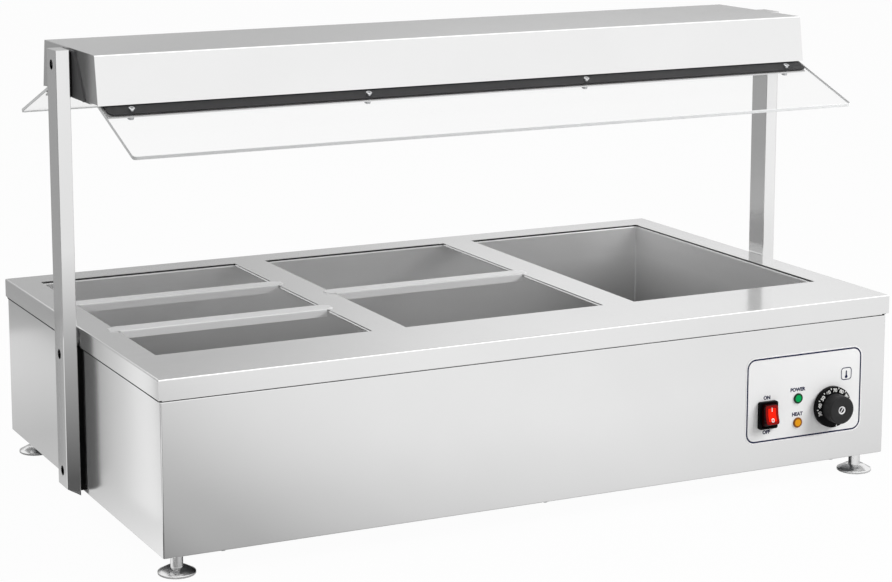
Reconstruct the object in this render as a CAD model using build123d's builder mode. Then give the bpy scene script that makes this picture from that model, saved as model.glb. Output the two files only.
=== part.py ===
from build123d import *
import os
from math import cos, radians, sin, tan

# Dry bain-marie for buffet service: a heated tank under a worktop with three wells, on levelling feet,
# with a serving hood and a sneeze guard on each side of it, carried by two posts.
# Millimetres, +Z up, X along the front, Y towards the back. The origin lies on the floor, midway
# between the posts and midway between the front of the knob and the back of the cable gland.

# Wells and worktop
well_width = 313.0
well_length = 510.0
well_count = 3
crossbar_width = 51.0
side_margin = 41.5
front_margin = 125.5
back_margin = 47.5
deck_sheet = 0.8
deck_bend = 2.0
rim_height = 27.0
lip_height = 5.0
bead_diameter = 2.2
bead_drop = 3.0

# Tank and its seal under the worktop
tank_depth = 165.0
tank_sheet = 1.0
tank_bend = 6.0
tank_corner = 3.0
tank_mouth_bend = 2.0
tank_flange = 15.0
seal_thickness = 2.0
seal_setback = 3.0

# Casing
casing_height = 236.0
casing_sheet = 1.0
casing_bend = 2.0
casing_flange = 16.0
rim_overhang = 3.0
neck_step = 3.0
neck_gap = 2.5
panel_fit = 0.3
panel_edge = 0.9
base_sheet = 1.2
vent_length = 70.0
vent_width = 6.0
vent_pitch = 16.0
vent_count = 7

# Divider bars that lie across the left and middle wells
dividers_per_well = (2, 1, 0)
divider_width = 30.0
divider_height = 11.2
divider_sheet = 1.2
divider_bend = 1.8
divider_end_gap = 2.0
divider_tab = 10.0
divider_tab_taper = 6.0
divider_shift = -2.6

# Heaters under the tank
heater_tube = 8.0
heater_legs = 4
heater_pitch = 60.0
heater_end_margin = 45.0
heater_bend_share = 0.45
heater_gap = 0.3
heater_pin = 4.0
heater_pin_length = 20.0
heater_lead = 30.0
strap_sheet = 1.2
strap_width = 20.0
strap_foot = 14.0
strap_side_gap = 3.0
strap_shares = (0.25, 0.75)

# Levelling feet
foot_height = 30.7
foot_inset = 28.0
foot_face = 48.0
pad_diameter = 50.0
pad_chamfer = 1.0
pad_rim = 3.5
pad_collar = 28.0
pad_height = 9.5
shank_diameter = 16.6
foot_thread = 10.0
thread_length = 28.0
thread_fit = 0.05
foot_hole_fit = 0.25
socket_plate = 50.0
socket_plate_sheet = 3.0
socket_plate_corner = 4.0
socket_nut = 17.0
socket_nut_height = 10.0

# Posts
post_gap = 2.0
post_width = 20.0
post_depth = 40.0
post_wall = 1.5
post_corner = 1.2
post_top_drop = 1.5
post_bottom_drop = 4.5
post_cut_angle = 30.0
access_hole = 14.0
post_screw_drop = 40.0
post_screw_rise = 29.0
hood_screw_drop = 22.0
spacer_width = 34.0
spacer_end_gap = 2.0

# Machine screws and nuts of the posts
screw_diameter = 6.0
screw_fit = 0.3
screw_head = 10.0
screw_head_height = 5.0
screw_length = 15.0
nut_across = 10.0
nut_height = 5.0
nut_fit = 0.05

# Hood
hood_clearance = 319.0
hood_setback = 3.0
hood_height = 66.5
hood_top_depth = 221.0
hood_bottom_depth = 242.0
hood_sheet = 1.2
hood_bend = 2.0
hood_end_flange = 16.0
hood_end_flange_depth = 170.0
bracket_gap = 3.0
bracket_thickness = 2.0
bracket_top_width = 54.0
bracket_bottom_width = 140.0
bracket_top_drop = 2.5

# Sneeze guards and their clamps under the hood
glass_tilt = 20.0
glass_thickness = 5.0
glass_width = 153.0
glass_end_inset = 3.5
glass_corner = 5.0
strip_width = 40.0
strip_showing = 24.0
strip_thickness = 1.5
strip_end_inset = 8.0
strip_corner = 10.0
strip_gap = 1.0
gasket_thickness = 1.0
gasket_inset = 3.5
underside_sheet = 1.5
clamp_bolt_count = 4
clamp_bolt_end = 33.5
clamp_bolt_setback = 8.0
clamp_bolt = 5.0
clamp_bolt_fit = 0.25
clamp_head = 8.5
clamp_head_height = 5.0
clamp_socket = 4.0
clamp_socket_depth = 2.5
clamp_nut_across = 8.0
clamp_nut_height = 4.0
clamp_thread_end = 2.0
glass_hole = 8.0

# Control panel on the front, placed from its film's centre
overlay_length = 200.0
overlay_height = 126.5
overlay_thickness = 0.4
overlay_corner = 15.0
overlay_inset = 40.0
overlay_rise = 39.4
control_row_drop = 21.6
switch_offset = -63.7
lamp_offset = -10.7
knob_offset = 46.0
lamp_pitch = 35.8

# Rocker switch
bezel_width = 31.0
bezel_height = 40.0
bezel_thickness = 5.3
bezel_corner = 3.0
rocker_width = 22.0
rocker_height = 34.0
rocker_fit = 0.5
rocker_reach = 15.3
rocker_dip = 1.5
rocker_keel = 8.0
rocker_edge = 2.0
rocker_corner = 4.0
rocker_tilt = 11.0
pivot_diameter = 4.0
pivot_length = 0.9
pivot_fit = 0.05
pivot_end_gap = 0.1
switch_wall = 1.5
switch_depth = 24.0
pocket_depth = 13.0
cutout_fit = 0.3
spade_width = 6.3
spade_sheet = 0.8
spade_length = 9.0
spade_pitch = 14.0

# Pilot lamps
lamp_lens = 15.0
lamp_lens_height = 2.0
lamp_lens_edge = 0.8
lamp_face = 10.0
lamp_face_drop = 0.5
lamp_barrel = 10.0
lamp_hole_fit = 0.2
lamp_depth = 24.0
lamp_ring = 14.0
lamp_ring_height = 4.0

# Thermostat, its knob and its sensing bulb
knob_skirt = 60.0
knob_skirt_rim = 8.0
knob_dial_rise = 9.0
knob_base = 41.0
knob_front = 41.0
knob_height = 28.0
knob_edge = 2.0
knob_gap = 0.8
knob_back_recess = 2.2
knob_back_wall = 4.0
knob_bore_depth = 20.0
knob_cap = 14.0
knob_cap_height = 1.2
knob_cap_hole = 7.0
knob_cap_recess = 1.6
knob_cap_fit = 0.05
shaft_diameter = 6.0
shaft_fit = 0.05
shaft_hole = 10.0
shaft_seat = 16.0
shaft_end_gap = 2.0
thermostat_width = 50.0
thermostat_height = 36.0
thermostat_depth = 30.0
thermostat_screw = 4.0
thermostat_screw_head = 7.0
thermostat_screw_head_height = 1.6
thermostat_screw_pitch = 28.0
thermostat_screw_length = 10.0
thermostat_screw_gap = 2.0
bulb_diameter = 6.0
bulb_length = 90.0
bulb_rise = 20.0
bulb_gap = 0.3
capillary_diameter = 1.6
capillary_lead = 30.0
capillary_bend = 8.0

# Supply entry
gland_inset = 130.0
gland_rise = 55.0
gland_reach = 20.0
gland_hex = 24.0
gland_hex_height = 6.0
gland_cap = 20.0
gland_mouth = 15.0
gland_bore = 9.0
gland_thread = 20.0
gland_thread_length = 11.0
gland_fit = 0.15
gland_nut_height = 5.0
terminal_length = 64.0
terminal_depth = 24.0
terminal_height = 20.0
terminal_ways = 5
terminal_hole = 4.0
terminal_setback = 60.0

# Small screws of the base, the back and the hood's underside
small_screw = 4.0
small_screw_fit = 0.15
small_head = 8.0
small_head_height = 2.4
small_head_edge = 0.8
small_screw_length = 7.0
back_screw_shares = (0.15, 0.5, 0.85)
base_screw_shares = (-0.9, 0, 0.9)

# Levels and places worked out from the sizes above
casing_bottom = foot_height
deck_top = foot_height + casing_height
deck_underside = deck_top - deck_sheet
wells_width = well_count * well_width + (well_count - 1) * crossbar_width
deck_length = wells_width + 2 * side_margin
deck_depth = front_margin + well_length + back_margin
front_reach = overlay_thickness + knob_gap + knob_height - rim_overhang
rear_reach = gland_reach - rim_overhang
deck_mid = (front_reach - rear_reach) / 2
deck_front = deck_mid - deck_depth / 2
deck_back = deck_mid + deck_depth / 2
casing_front = deck_front + rim_overhang
casing_back = deck_back - rim_overhang
casing_depth = casing_back - casing_front
casing_half = deck_length / 2 - rim_overhang
casing_rise = deck_underside - casing_bottom
casing_shoulder = deck_top - rim_height - neck_gap
well_pitch = well_width + crossbar_width
well_centres = [(i - (well_count - 1) / 2) * well_pitch for i in range(well_count)]
well_front = deck_front + front_margin
well_back = well_front + well_length
well_mid = (well_front + well_back) / 2
tank_floor = deck_top - tank_depth
tank_underside = tank_floor - tank_sheet
base_top = casing_bottom + casing_sheet + base_sheet
post_inner = deck_length / 2 + post_gap
post_outer = post_inner + post_width
hood_half = post_inner - bracket_gap - bracket_thickness
hood_bottom = deck_top + hood_clearance
hood_top = hood_bottom + hood_height
hood_mid = deck_mid + hood_setback
overlay_x = casing_half - overlay_inset - overlay_length / 2
overlay_z = casing_bottom + overlay_rise + overlay_height / 2
control_z = overlay_z - control_row_drop
switch_x = overlay_x + switch_offset
lamp_x = overlay_x + lamp_offset
knob_x = overlay_x + knob_offset
lamp_places = {"power_lamp": control_z + lamp_pitch / 2, "heat_lamp": control_z - lamp_pitch / 2}
window_width = rocker_width + 2 * rocker_fit
window_height = rocker_height + 2 * rocker_fit
switch_body_width = window_width + 2 * switch_wall
switch_body_height = window_height + 2 * switch_wall
gland_x = casing_half - gland_inset
gland_z = casing_bottom + gland_rise
foot_places = {
    "front_left": (-casing_half + foot_inset, casing_front + foot_inset),
    "front_right": (casing_half - foot_inset, casing_front + foot_inset),
    "back_left": (-casing_half + foot_inset, casing_back - foot_inset),
    "back_right": (casing_half - foot_inset, casing_back - foot_inset),
}
post_screw_levels = (deck_top - post_screw_drop, casing_bottom + post_screw_rise)
hood_screw_level = hood_top - hood_screw_drop

# The clamp planes lie on the upper face of each clamp strip, along its row of bolts. Their local y runs
# up the slope towards the hood's middle.
clamp_run = strip_showing - clamp_bolt_setback
clamp_offset = hood_bottom_depth / 2 + clamp_run * cos(radians(glass_tilt))
clamp_level = hood_bottom - strip_gap - clamp_run * sin(radians(glass_tilt))
clamp_planes = {
    "front": Plane(
        origin=(0, hood_mid - clamp_offset, clamp_level),
        x_dir=(1, 0, 0),
        z_dir=(0, -sin(radians(glass_tilt)), cos(radians(glass_tilt))),
    ),
    "rear": Plane(
        origin=(0, hood_mid + clamp_offset, clamp_level),
        x_dir=(-1, 0, 0),
        z_dir=(0, sin(radians(glass_tilt)), cos(radians(glass_tilt))),
    ),
}
strip_half = hood_half - strip_end_inset
glass_half = hood_half - glass_end_inset
strip_front = -clamp_bolt_setback
strip_back = strip_front + strip_width
gasket_front = strip_front + gasket_inset
glass_level = -strip_thickness
gasket_level = glass_level - glass_thickness
flange_level = gasket_level - gasket_thickness
clamp_bolt_pitch = 2 * (strip_half - clamp_bolt_end) / (clamp_bolt_count - 1)
clamp_bolt_row = GridLocations(clamp_bolt_pitch, clamp_bolt_pitch, clamp_bolt_count, 1).local_locations
clamp_grip = strip_thickness + glass_thickness + gasket_thickness + underside_sheet

os.makedirs("parts", exist_ok=True)


def save(piece, name):
    """Labels a finished piece and writes it as one file."""
    piece.part.label = name
    export_step(piece.part, f"parts/{name}.step")


def level(z):
    """A horizontal plane at height z."""
    return Plane.XY.offset(z)


def front_plane(x, z, lift=0.0):
    """A plane on the casing's front, raised by lift, facing out: local x runs right and local y up."""
    return Plane(origin=(x, casing_front - lift, z), x_dir=(1, 0, 0), z_dir=(0, -1, 0))


def front_section(x, z):
    """A section plane of a piece turned about a front-to-back axis: local y points out of the front."""
    return Plane(origin=(x, casing_front, z), x_dir=(1, 0, 0), z_dir=(0, 0, -1))


def front_axis(x, z):
    """The axis of a piece on the front."""
    return Axis((x, casing_front, z), (0, -1, 0))


def side_plane(side, x, y, z=0.0):
    """A plane facing out of the left (-1) or right (1) side at distance x, with local y up."""
    return Plane(origin=(side * x, y, z), x_dir=(0, side, 0), z_dir=(side, 0, 0))


# Worktop: one sheet folded down into a rim, with three wells and lips with a rolled bead along the crossbars
with BuildPart() as top_deck:
    with BuildSketch(level(deck_top - rim_height)):
        with Locations((0, deck_mid)):
            Rectangle(deck_length, deck_depth)
    extrude(amount=rim_height)
    fillet(top_deck.faces().sort_by(Axis.Z)[-1].edges(), radius=deck_bend)
    offset(amount=-deck_sheet, openings=top_deck.faces().sort_by(Axis.Z)[0])
    with BuildSketch(level(deck_top)):
        with Locations(*[(x, well_mid) for x in well_centres]):
            Rectangle(well_width, well_length)
    extrude(amount=-deck_sheet, mode=Mode.SUBTRACT)
    with BuildSketch(level(deck_top - lip_height)):
        for gap in range(well_count - 1):
            crossbar_x = (well_centres[gap] + well_centres[gap + 1]) / 2
            for side in (-1, 1):
                with Locations((crossbar_x + side * (crossbar_width - deck_sheet) / 2, well_mid)):
                    Rectangle(deck_sheet, well_length)
    extrude(amount=lip_height - deck_sheet)
    with BuildSketch(Plane(origin=(0, well_front, deck_top), x_dir=(1, 0, 0), z_dir=(0, 1, 0))):
        for gap in range(well_count - 1):
            crossbar_x = (well_centres[gap] + well_centres[gap + 1]) / 2
            with Locations(*[(crossbar_x + side * crossbar_width / 2, bead_drop) for side in (-1, 1)]):
                Circle(bead_diameter / 2)
    extrude(amount=well_length)
save(top_deck, "top_deck")

# Tank: one tub below all three wells, hung from the worktop by its flange
tank_top = deck_underside - seal_thickness
with BuildPart() as tank:
    with BuildSketch(level(tank_underside)):
        with Locations((0, well_mid)):
            Rectangle(wells_width + 2 * tank_sheet, well_length + 2 * tank_sheet)
    extrude(amount=tank_top - tank_underside)
    fillet(tank.edges().filter_by(Axis.Z), radius=tank_corner)
    fillet(tank.faces().sort_by(Axis.Z)[0].edges(), radius=tank_bend)
    offset(amount=-tank_sheet, openings=tank.faces().sort_by(Axis.Z)[-1])
    with BuildSketch(level(tank_top)):
        with Locations((0, well_mid)):
            Rectangle(wells_width + 2 * tank_flange, well_length + 2 * tank_flange)
            RectangleRounded(wells_width, well_length, tank_corner - tank_sheet, mode=Mode.SUBTRACT)
    extrude(amount=-tank_sheet)
    fillet(tank.faces().sort_by(Axis.Z)[-1].inner_wires()[0].edges(), radius=tank_mouth_bend)
save(tank, "tank")

with BuildPart() as tank_seal:
    with BuildSketch(level(tank_top)):
        with Locations((0, well_mid)):
            Rectangle(wells_width + 2 * tank_flange, well_length + 2 * tank_flange)
            Rectangle(wells_width + 2 * seal_setback, well_length + 2 * seal_setback, mode=Mode.SUBTRACT)
    extrude(amount=seal_thickness)
save(tank_seal, "tank_seal")

# Casing: front and sides folded from one sheet, stepped in below the worktop's rim, with flanges turned in
# at the top, bottom and back
screw_hole = screw_diameter + 2 * screw_fit
thread_hole = small_screw + 2 * small_screw_fit
rear_flange_back = casing_back - casing_sheet
back_screw_x = casing_half - casing_sheet - casing_flange / 2
back_screw_levels = [casing_bottom + casing_rise * share for share in back_screw_shares]
base_screw_x = [(casing_half - 2 * casing_flange) * share for share in base_screw_shares]
base_front_row = casing_front + casing_sheet + casing_flange / 2
base_back_row = rear_flange_back - casing_sheet - casing_flange / 2
with BuildPart() as casing_wrap:
    with BuildSketch(level(casing_bottom)):
        with Locations((0, (casing_front + casing_back) / 2)):
            Rectangle(2 * casing_half, casing_depth)
    extrude(amount=casing_shoulder - casing_bottom)
    casing_folds = casing_wrap.faces().sort_by(Axis.Y)[0].edges()
    casing_folds += casing_wrap.edges().filter_by(Axis.Y)
    fillet(casing_folds, radius=casing_bend)
    with BuildSketch(level(casing_shoulder - casing_sheet)) as casing_neck:
        with Locations((0, casing_front + neck_step)):
            Rectangle(
                2 * (casing_half - neck_step), casing_depth - neck_step, align=(Align.CENTER, Align.MIN)
            )
        fillet(casing_neck.vertices().group_by(Axis.Y)[0], radius=casing_bend)
    extrude(amount=deck_underside - casing_shoulder + casing_sheet)
    for room_inset, room_floor, room_top in (
        (casing_sheet, casing_bottom + casing_sheet, casing_shoulder - casing_sheet),
        (neck_step + casing_sheet, casing_shoulder - casing_sheet, deck_underside - casing_sheet),
    ):
        with BuildSketch(level(room_floor)) as casing_room:
            with Locations((0, casing_front + room_inset)):
                Rectangle(
                    2 * (casing_half - room_inset),
                    casing_depth - room_inset - 2 * casing_sheet,
                    align=(Align.CENTER, Align.MIN),
                )
            fillet(casing_room.vertices().group_by(Axis.Y)[0], radius=casing_bend - casing_sheet)
        extrude(amount=room_top - room_floor, mode=Mode.SUBTRACT)
    with BuildSketch(level(casing_bottom)):
        with Locations((0, casing_front + casing_sheet + casing_flange)):
            Rectangle(
                2 * (casing_half - casing_sheet - casing_flange),
                casing_depth,
                align=(Align.CENTER, Align.MIN),
            )
    extrude(amount=casing_rise, mode=Mode.SUBTRACT)
    with BuildSketch(level(casing_bottom)):
        with Locations((0, casing_back)):
            Rectangle(2 * (casing_half - casing_sheet), casing_sheet, align=(Align.CENTER, Align.MAX))
    extrude(amount=casing_rise, mode=Mode.SUBTRACT)
    with BuildSketch(front_plane(0, 0)):
        with Locations((switch_x, control_z)):
            Rectangle(switch_body_width + 2 * cutout_fit, switch_body_height + 2 * cutout_fit)
        with Locations(*[(lamp_x, z) for z in lamp_places.values()]):
            Circle(lamp_barrel / 2 + lamp_hole_fit)
        with Locations((knob_x, control_z)):
            Circle(shaft_hole / 2)
        with Locations((knob_x, control_z)):
            with GridLocations(thermostat_screw_pitch, 0, 2, 1):
                Circle(thermostat_screw / 2 + small_screw_fit)
    extrude(amount=-casing_sheet, mode=Mode.SUBTRACT)
    for side in (-1, 1):
        with BuildSketch(side_plane(side, casing_half, hood_mid)):
            with Locations(*[(0, z) for z in post_screw_levels]):
                Circle(screw_hole / 2)
        extrude(amount=-casing_sheet, mode=Mode.SUBTRACT)
        with BuildSketch(Plane.XZ.offset(-rear_flange_back)):
            with Locations(*[(side * back_screw_x, z) for z in back_screw_levels]):
                Circle(thread_hole / 2)
        extrude(amount=casing_sheet, mode=Mode.SUBTRACT)
    with BuildSketch(level(casing_bottom)):
        with Locations(*[(x, base_front_row) for x in base_screw_x]):
            Circle(thread_hole / 2)
    extrude(amount=casing_sheet, mode=Mode.SUBTRACT)
save(casing_wrap, "casing_wrap")

# Back panel: a channel that closes the casing, with the hole of the cable gland
panel_half = casing_half - casing_sheet - panel_fit
back_flange_half = casing_half - casing_sheet - casing_flange - panel_fit
with BuildPart() as back_panel:
    with BuildSketch(Plane.XZ.offset(-casing_back)):
        with Locations((0, casing_bottom)):
            Rectangle(2 * panel_half, casing_rise, align=(Align.CENTER, Align.MIN))
    extrude(amount=casing_sheet)
    for flange_z in (casing_bottom, deck_underside - casing_sheet):
        with BuildSketch(level(flange_z)):
            with Locations((0, rear_flange_back)):
                Rectangle(
                    2 * back_flange_half, casing_flange + casing_sheet, align=(Align.CENTER, Align.MAX)
                )
        extrude(amount=casing_sheet)
    fillet(back_panel.edges().filter_by(Axis.X).group_by(Axis.Y)[-1], radius=panel_edge)
    with BuildSketch(Plane.XZ.offset(-casing_back)):
        with Locations((gland_x, gland_z)):
            Circle(gland_thread / 2 + gland_fit)
        with Locations(*[(side * back_screw_x, z) for side in (-1, 1) for z in back_screw_levels]):
            Circle(thread_hole / 2)
    extrude(amount=casing_sheet, mode=Mode.SUBTRACT)
    with BuildSketch(level(casing_bottom)):
        with Locations(*[(x, base_back_row) for x in base_screw_x]):
            Circle(thread_hole / 2)
    extrude(amount=casing_sheet, mode=Mode.SUBTRACT)
save(back_panel, "back_panel")

# Base plate: lies on the bottom flanges and has air slots below the tank
base_front = casing_front + casing_sheet + panel_fit
base_back = rear_flange_back - casing_sheet - panel_fit
with BuildPart() as base_plate:
    with BuildSketch(level(casing_bottom + casing_sheet)):
        with Locations((0, base_front)):
            Rectangle(2 * panel_half, base_back - base_front, align=(Align.CENTER, Align.MIN))
        with Locations(*foot_places.values()):
            Circle(foot_thread / 2 + foot_hole_fit, mode=Mode.SUBTRACT)
        with Locations(*[(x, y) for x in base_screw_x for y in (base_front_row, base_back_row)]):
            Circle(thread_hole / 2, mode=Mode.SUBTRACT)
        with Locations(*[(x, well_mid) for x in well_centres]):
            with GridLocations(vent_length, vent_pitch, 1, vent_count):
                SlotOverall(vent_length, vent_width, mode=Mode.SUBTRACT)
    extrude(amount=base_sheet)
save(base_plate, "base_plate")

# Small pan-head screws: base to bottom flanges, and back panel to rear flanges
with BuildPart() as base_screws:
    base_screw_places = [(x, y) for x in base_screw_x for y in (base_front_row, base_back_row)]
    with BuildSketch(level(casing_bottom)):
        with Locations(*base_screw_places):
            Circle(small_head / 2)
    extrude(amount=-small_head_height)
    chamfer(base_screws.faces().group_by(Axis.Z)[0].edges(), length=small_head_edge)
    with BuildSketch(level(casing_bottom)):
        with Locations(*base_screw_places):
            Circle(small_screw / 2)
    extrude(amount=small_screw_length)
save(base_screws, "base_screws")

with BuildPart() as back_screws:
    back_screw_places = [(side * back_screw_x, z) for side in (-1, 1) for z in back_screw_levels]
    with BuildSketch(Plane.XZ.offset(-casing_back)):
        with Locations(*back_screw_places):
            Circle(small_head / 2)
    extrude(amount=-small_head_height)
    chamfer(back_screws.faces().group_by(Axis.Y)[-1].edges(), length=small_head_edge)
    with BuildSketch(Plane.XZ.offset(-casing_back)):
        with Locations(*back_screw_places):
            Circle(small_screw / 2)
    extrude(amount=small_screw_length)
save(back_screws, "back_screws")

# Divider bars: shallow channels with a tapered tab at each end that lies on the worktop
divider_names = {(0, 0): "divider_left_front", (0, 1): "divider_left_rear", (1, 0): "divider_middle"}
divider_half = well_width / 2 - divider_end_gap
for (well, row), divider_name in divider_names.items():
    bars = dividers_per_well[well]
    divider_space = (well_length - bars * divider_width) / (bars + 1)
    divider_y = well_front + (row + 1) * divider_space + (row + 0.5) * divider_width + divider_shift
    divider_x = well_centres[well]
    divider_top = deck_top + divider_sheet
    with BuildPart() as divider:
        with BuildSketch(Plane(origin=(divider_x, divider_y, divider_top), x_dir=(0, 1, 0), z_dir=(1, 0, 0))):
            with BuildLine():
                FilletPolyline(
                    (-divider_width / 2, -divider_height),
                    (-divider_width / 2, 0),
                    (divider_width / 2, 0),
                    (divider_width / 2, -divider_height),
                    radius=divider_bend,
                )
                offset(amount=divider_sheet, side=Side.RIGHT)
            make_face()
        extrude(amount=divider_half, both=True)
        for side in (-1, 1):
            tab_root = divider_x + side * divider_half
            tab_tip = divider_x + side * (well_width / 2 + divider_tab)
            root_half = divider_width / 2 - divider_bend
            tip_half = root_half - divider_tab_taper
            with BuildSketch(level(deck_top)):
                with BuildLine():
                    Polyline(
                        (tab_root, divider_y - root_half),
                        (tab_tip, divider_y - tip_half),
                        (tab_tip, divider_y + tip_half),
                        (tab_root, divider_y + root_half),
                        close=True,
                    )
                make_face()
            extrude(amount=divider_sheet)
    save(divider, divider_name)

# Heaters: one bent tube below each well, with both ends brought out to the front
heater_z = tank_underside - heater_gap - heater_tube / 2
heater_front = well_front + heater_end_margin
heater_back = well_back - heater_end_margin
heater_end = well_front - tank_sheet - heater_lead
for heater_name, heater_x in zip(("heater_left", "heater_middle", "heater_right"), well_centres):
    leg_x = [heater_x + (i - (heater_legs - 1) / 2) * heater_pitch for i in range(heater_legs)]
    heater_points = [(leg_x[0], heater_end)]
    for leg in range(heater_legs - 1):
        turn_y = heater_back if leg % 2 == 0 else heater_front
        heater_points += [(leg_x[leg], turn_y), (leg_x[leg + 1], turn_y)]
    heater_points.append((leg_x[-1], heater_end))
    with BuildPart() as heater:
        with BuildLine(level(heater_z)) as heater_path:
            FilletPolyline(*heater_points, radius=heater_bend_share * heater_pitch)
        with BuildSketch(Plane(origin=(leg_x[0], heater_end, heater_z), x_dir=(1, 0, 0), z_dir=(0, 1, 0))):
            Circle(heater_tube / 2)
        sweep(path=heater_path.line)
        with BuildSketch(Plane(origin=(0, heater_end, heater_z), x_dir=(1, 0, 0), z_dir=(0, -1, 0))):
            with Locations((leg_x[0], 0), (leg_x[-1], 0)):
                Circle(heater_pin / 2)
        extrude(amount=heater_pin_length)
    save(heater, heater_name)

# Heater straps: hat sections welded to the tank's underside, two across each heater
strap_drop = heater_tube + 2 * heater_gap
strap_half = (heater_legs - 1) * heater_pitch / 2 + heater_tube / 2 + strap_side_gap
strap_rows = [heater_front + (heater_back - heater_front) * share for share in strap_shares]
with BuildPart() as heater_straps:
    for heater_x in well_centres:
        for strap_y in strap_rows:
            strap_plane = Plane(origin=(heater_x, strap_y, tank_underside), x_dir=(1, 0, 0), z_dir=(0, -1, 0))
            with BuildSketch(strap_plane):
                with BuildLine():
                    Polyline(
                        (-strap_half - strap_foot, 0),
                        (-strap_half, 0),
                        (-strap_half, -strap_drop),
                        (strap_half, -strap_drop),
                        (strap_half, 0),
                        (strap_half + strap_foot, 0),
                    )
                    offset(amount=strap_sheet, side=Side.RIGHT)
                make_face()
            extrude(amount=strap_width / 2, both=True)
save(heater_straps, "heater_straps")

# Levelling feet: turned pads with a shank that stops at the base plate and a thread above it
foot_stop = casing_bottom + casing_sheet
for foot_name, (foot_x, foot_y) in foot_places.items():
    with BuildPart() as foot:
        with BuildSketch(Plane(origin=(foot_x, foot_y, 0), x_dir=(1, 0, 0), z_dir=(0, -1, 0))):
            with BuildLine():
                Polyline(
                    (0, 0),
                    (foot_face / 2, 0),
                    (pad_diameter / 2, pad_chamfer),
                    (pad_diameter / 2, pad_rim),
                    (pad_collar / 2, pad_height),
                    (shank_diameter / 2, pad_height),
                    (shank_diameter / 2, foot_stop),
                    (foot_thread / 2, foot_stop),
                    (foot_thread / 2, foot_stop + thread_length),
                    (0, foot_stop + thread_length),
                    close=True,
                )
            make_face()
        revolve(axis=Axis((foot_x, foot_y, 0), (0, 0, 1)))
    save(foot, f"foot_{foot_name}")

# Foot sockets: a plate with a nut on the base plate above each foot
with BuildPart() as foot_sockets:
    with BuildSketch(level(base_top)):
        with Locations(*foot_places.values()):
            RectangleRounded(socket_plate, socket_plate, socket_plate_corner)
            Circle(foot_thread / 2 + thread_fit, mode=Mode.SUBTRACT)
    extrude(amount=socket_plate_sheet)
    with BuildSketch(level(base_top + socket_plate_sheet)):
        with Locations(*foot_places.values()):
            RegularPolygon(socket_nut / 2, 6, major_radius=False)
            Circle(foot_thread / 2 + thread_fit, mode=Mode.SUBTRACT)
    extrude(amount=socket_nut_height)
save(foot_sockets, "foot_sockets")

# Posts: rectangular tubes closed at both ends, cut on a slant below, with access holes for the screws
post_top = hood_top - post_top_drop
post_bottom = casing_bottom - post_bottom_drop
post_cut = post_width * tan(radians(post_cut_angle))
wall_cut = post_wall * tan(radians(post_cut_angle))
wall_slant = post_wall / cos(radians(post_cut_angle))
for side, post_name in ((-1, "post_left"), (1, "post_right")):
    with BuildPart() as post:
        with BuildSketch(Plane(origin=(0, hood_mid, 0), x_dir=(1, 0, 0), z_dir=(0, -1, 0))):
            with BuildLine():
                Polyline(
                    (side * post_inner, post_bottom),
                    (side * post_outer, post_bottom + post_cut),
                    (side * post_outer, post_top),
                    (side * post_inner, post_top),
                    close=True,
                )
            make_face()
        extrude(amount=post_depth / 2, both=True)
        fillet(post.edges().filter_by(Axis.Z), radius=post_corner)
        with BuildSketch(Plane(origin=(0, hood_mid, 0), x_dir=(1, 0, 0), z_dir=(0, -1, 0))):
            with BuildLine():
                Polyline(
                    (side * (post_inner + post_wall), post_bottom + wall_cut + wall_slant),
                    (side * (post_outer - post_wall), post_bottom + post_cut - wall_cut + wall_slant),
                    (side * (post_outer - post_wall), post_top - post_wall),
                    (side * (post_inner + post_wall), post_top - post_wall),
                    close=True,
                )
            make_face()
        extrude(amount=post_depth / 2 - post_wall, both=True, mode=Mode.SUBTRACT)
        with BuildSketch(side_plane(side, post_outer, hood_mid)):
            with Locations(*[(0, z) for z in (hood_screw_level, *post_screw_levels)]):
                Circle(access_hole / 2)
        extrude(amount=-post_wall, mode=Mode.SUBTRACT)
        with BuildSketch(side_plane(side, post_inner + post_wall, hood_mid)):
            with Locations(*[(0, z) for z in (hood_screw_level, *post_screw_levels)]):
                Circle(screw_hole / 2)
        extrude(amount=-post_wall, mode=Mode.SUBTRACT)
    save(post, post_name)

# Post spacers: a rubber strip between each post and the casing, and one between it and the hood's bracket
bracket_height = hood_height - bracket_top_drop
with BuildPart() as post_spacers:
    for side in (-1, 1):
        with BuildSketch(side_plane(side, casing_half, hood_mid)):
            with Locations((0, (casing_bottom + casing_shoulder) / 2)):
                Rectangle(spacer_width, casing_shoulder - casing_bottom - 2 * spacer_end_gap)
            with Locations(*[(0, z) for z in post_screw_levels]):
                Circle(screw_hole / 2, mode=Mode.SUBTRACT)
        extrude(amount=post_inner - casing_half)
        with BuildSketch(side_plane(side, post_inner - bracket_gap, hood_mid)):
            with Locations((0, hood_bottom + bracket_height / 2)):
                Rectangle(spacer_width, bracket_height - 2 * spacer_end_gap)
            with Locations((0, hood_screw_level)):
                Circle(screw_hole / 2, mode=Mode.SUBTRACT)
        extrude(amount=bracket_gap)
save(post_spacers, "post_spacers")

with BuildPart() as post_screws:
    for side in (-1, 1):
        head_seat = side_plane(side, post_inner + post_wall, hood_mid)
        with BuildSketch(head_seat):
            with Locations(*[(0, z) for z in (hood_screw_level, *post_screw_levels)]):
                Circle(screw_head / 2)
        extrude(amount=screw_head_height)
        with BuildSketch(head_seat):
            with Locations(*[(0, z) for z in (hood_screw_level, *post_screw_levels)]):
                Circle(screw_diameter / 2)
        extrude(amount=-screw_length)
save(post_screws, "post_screws")

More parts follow.
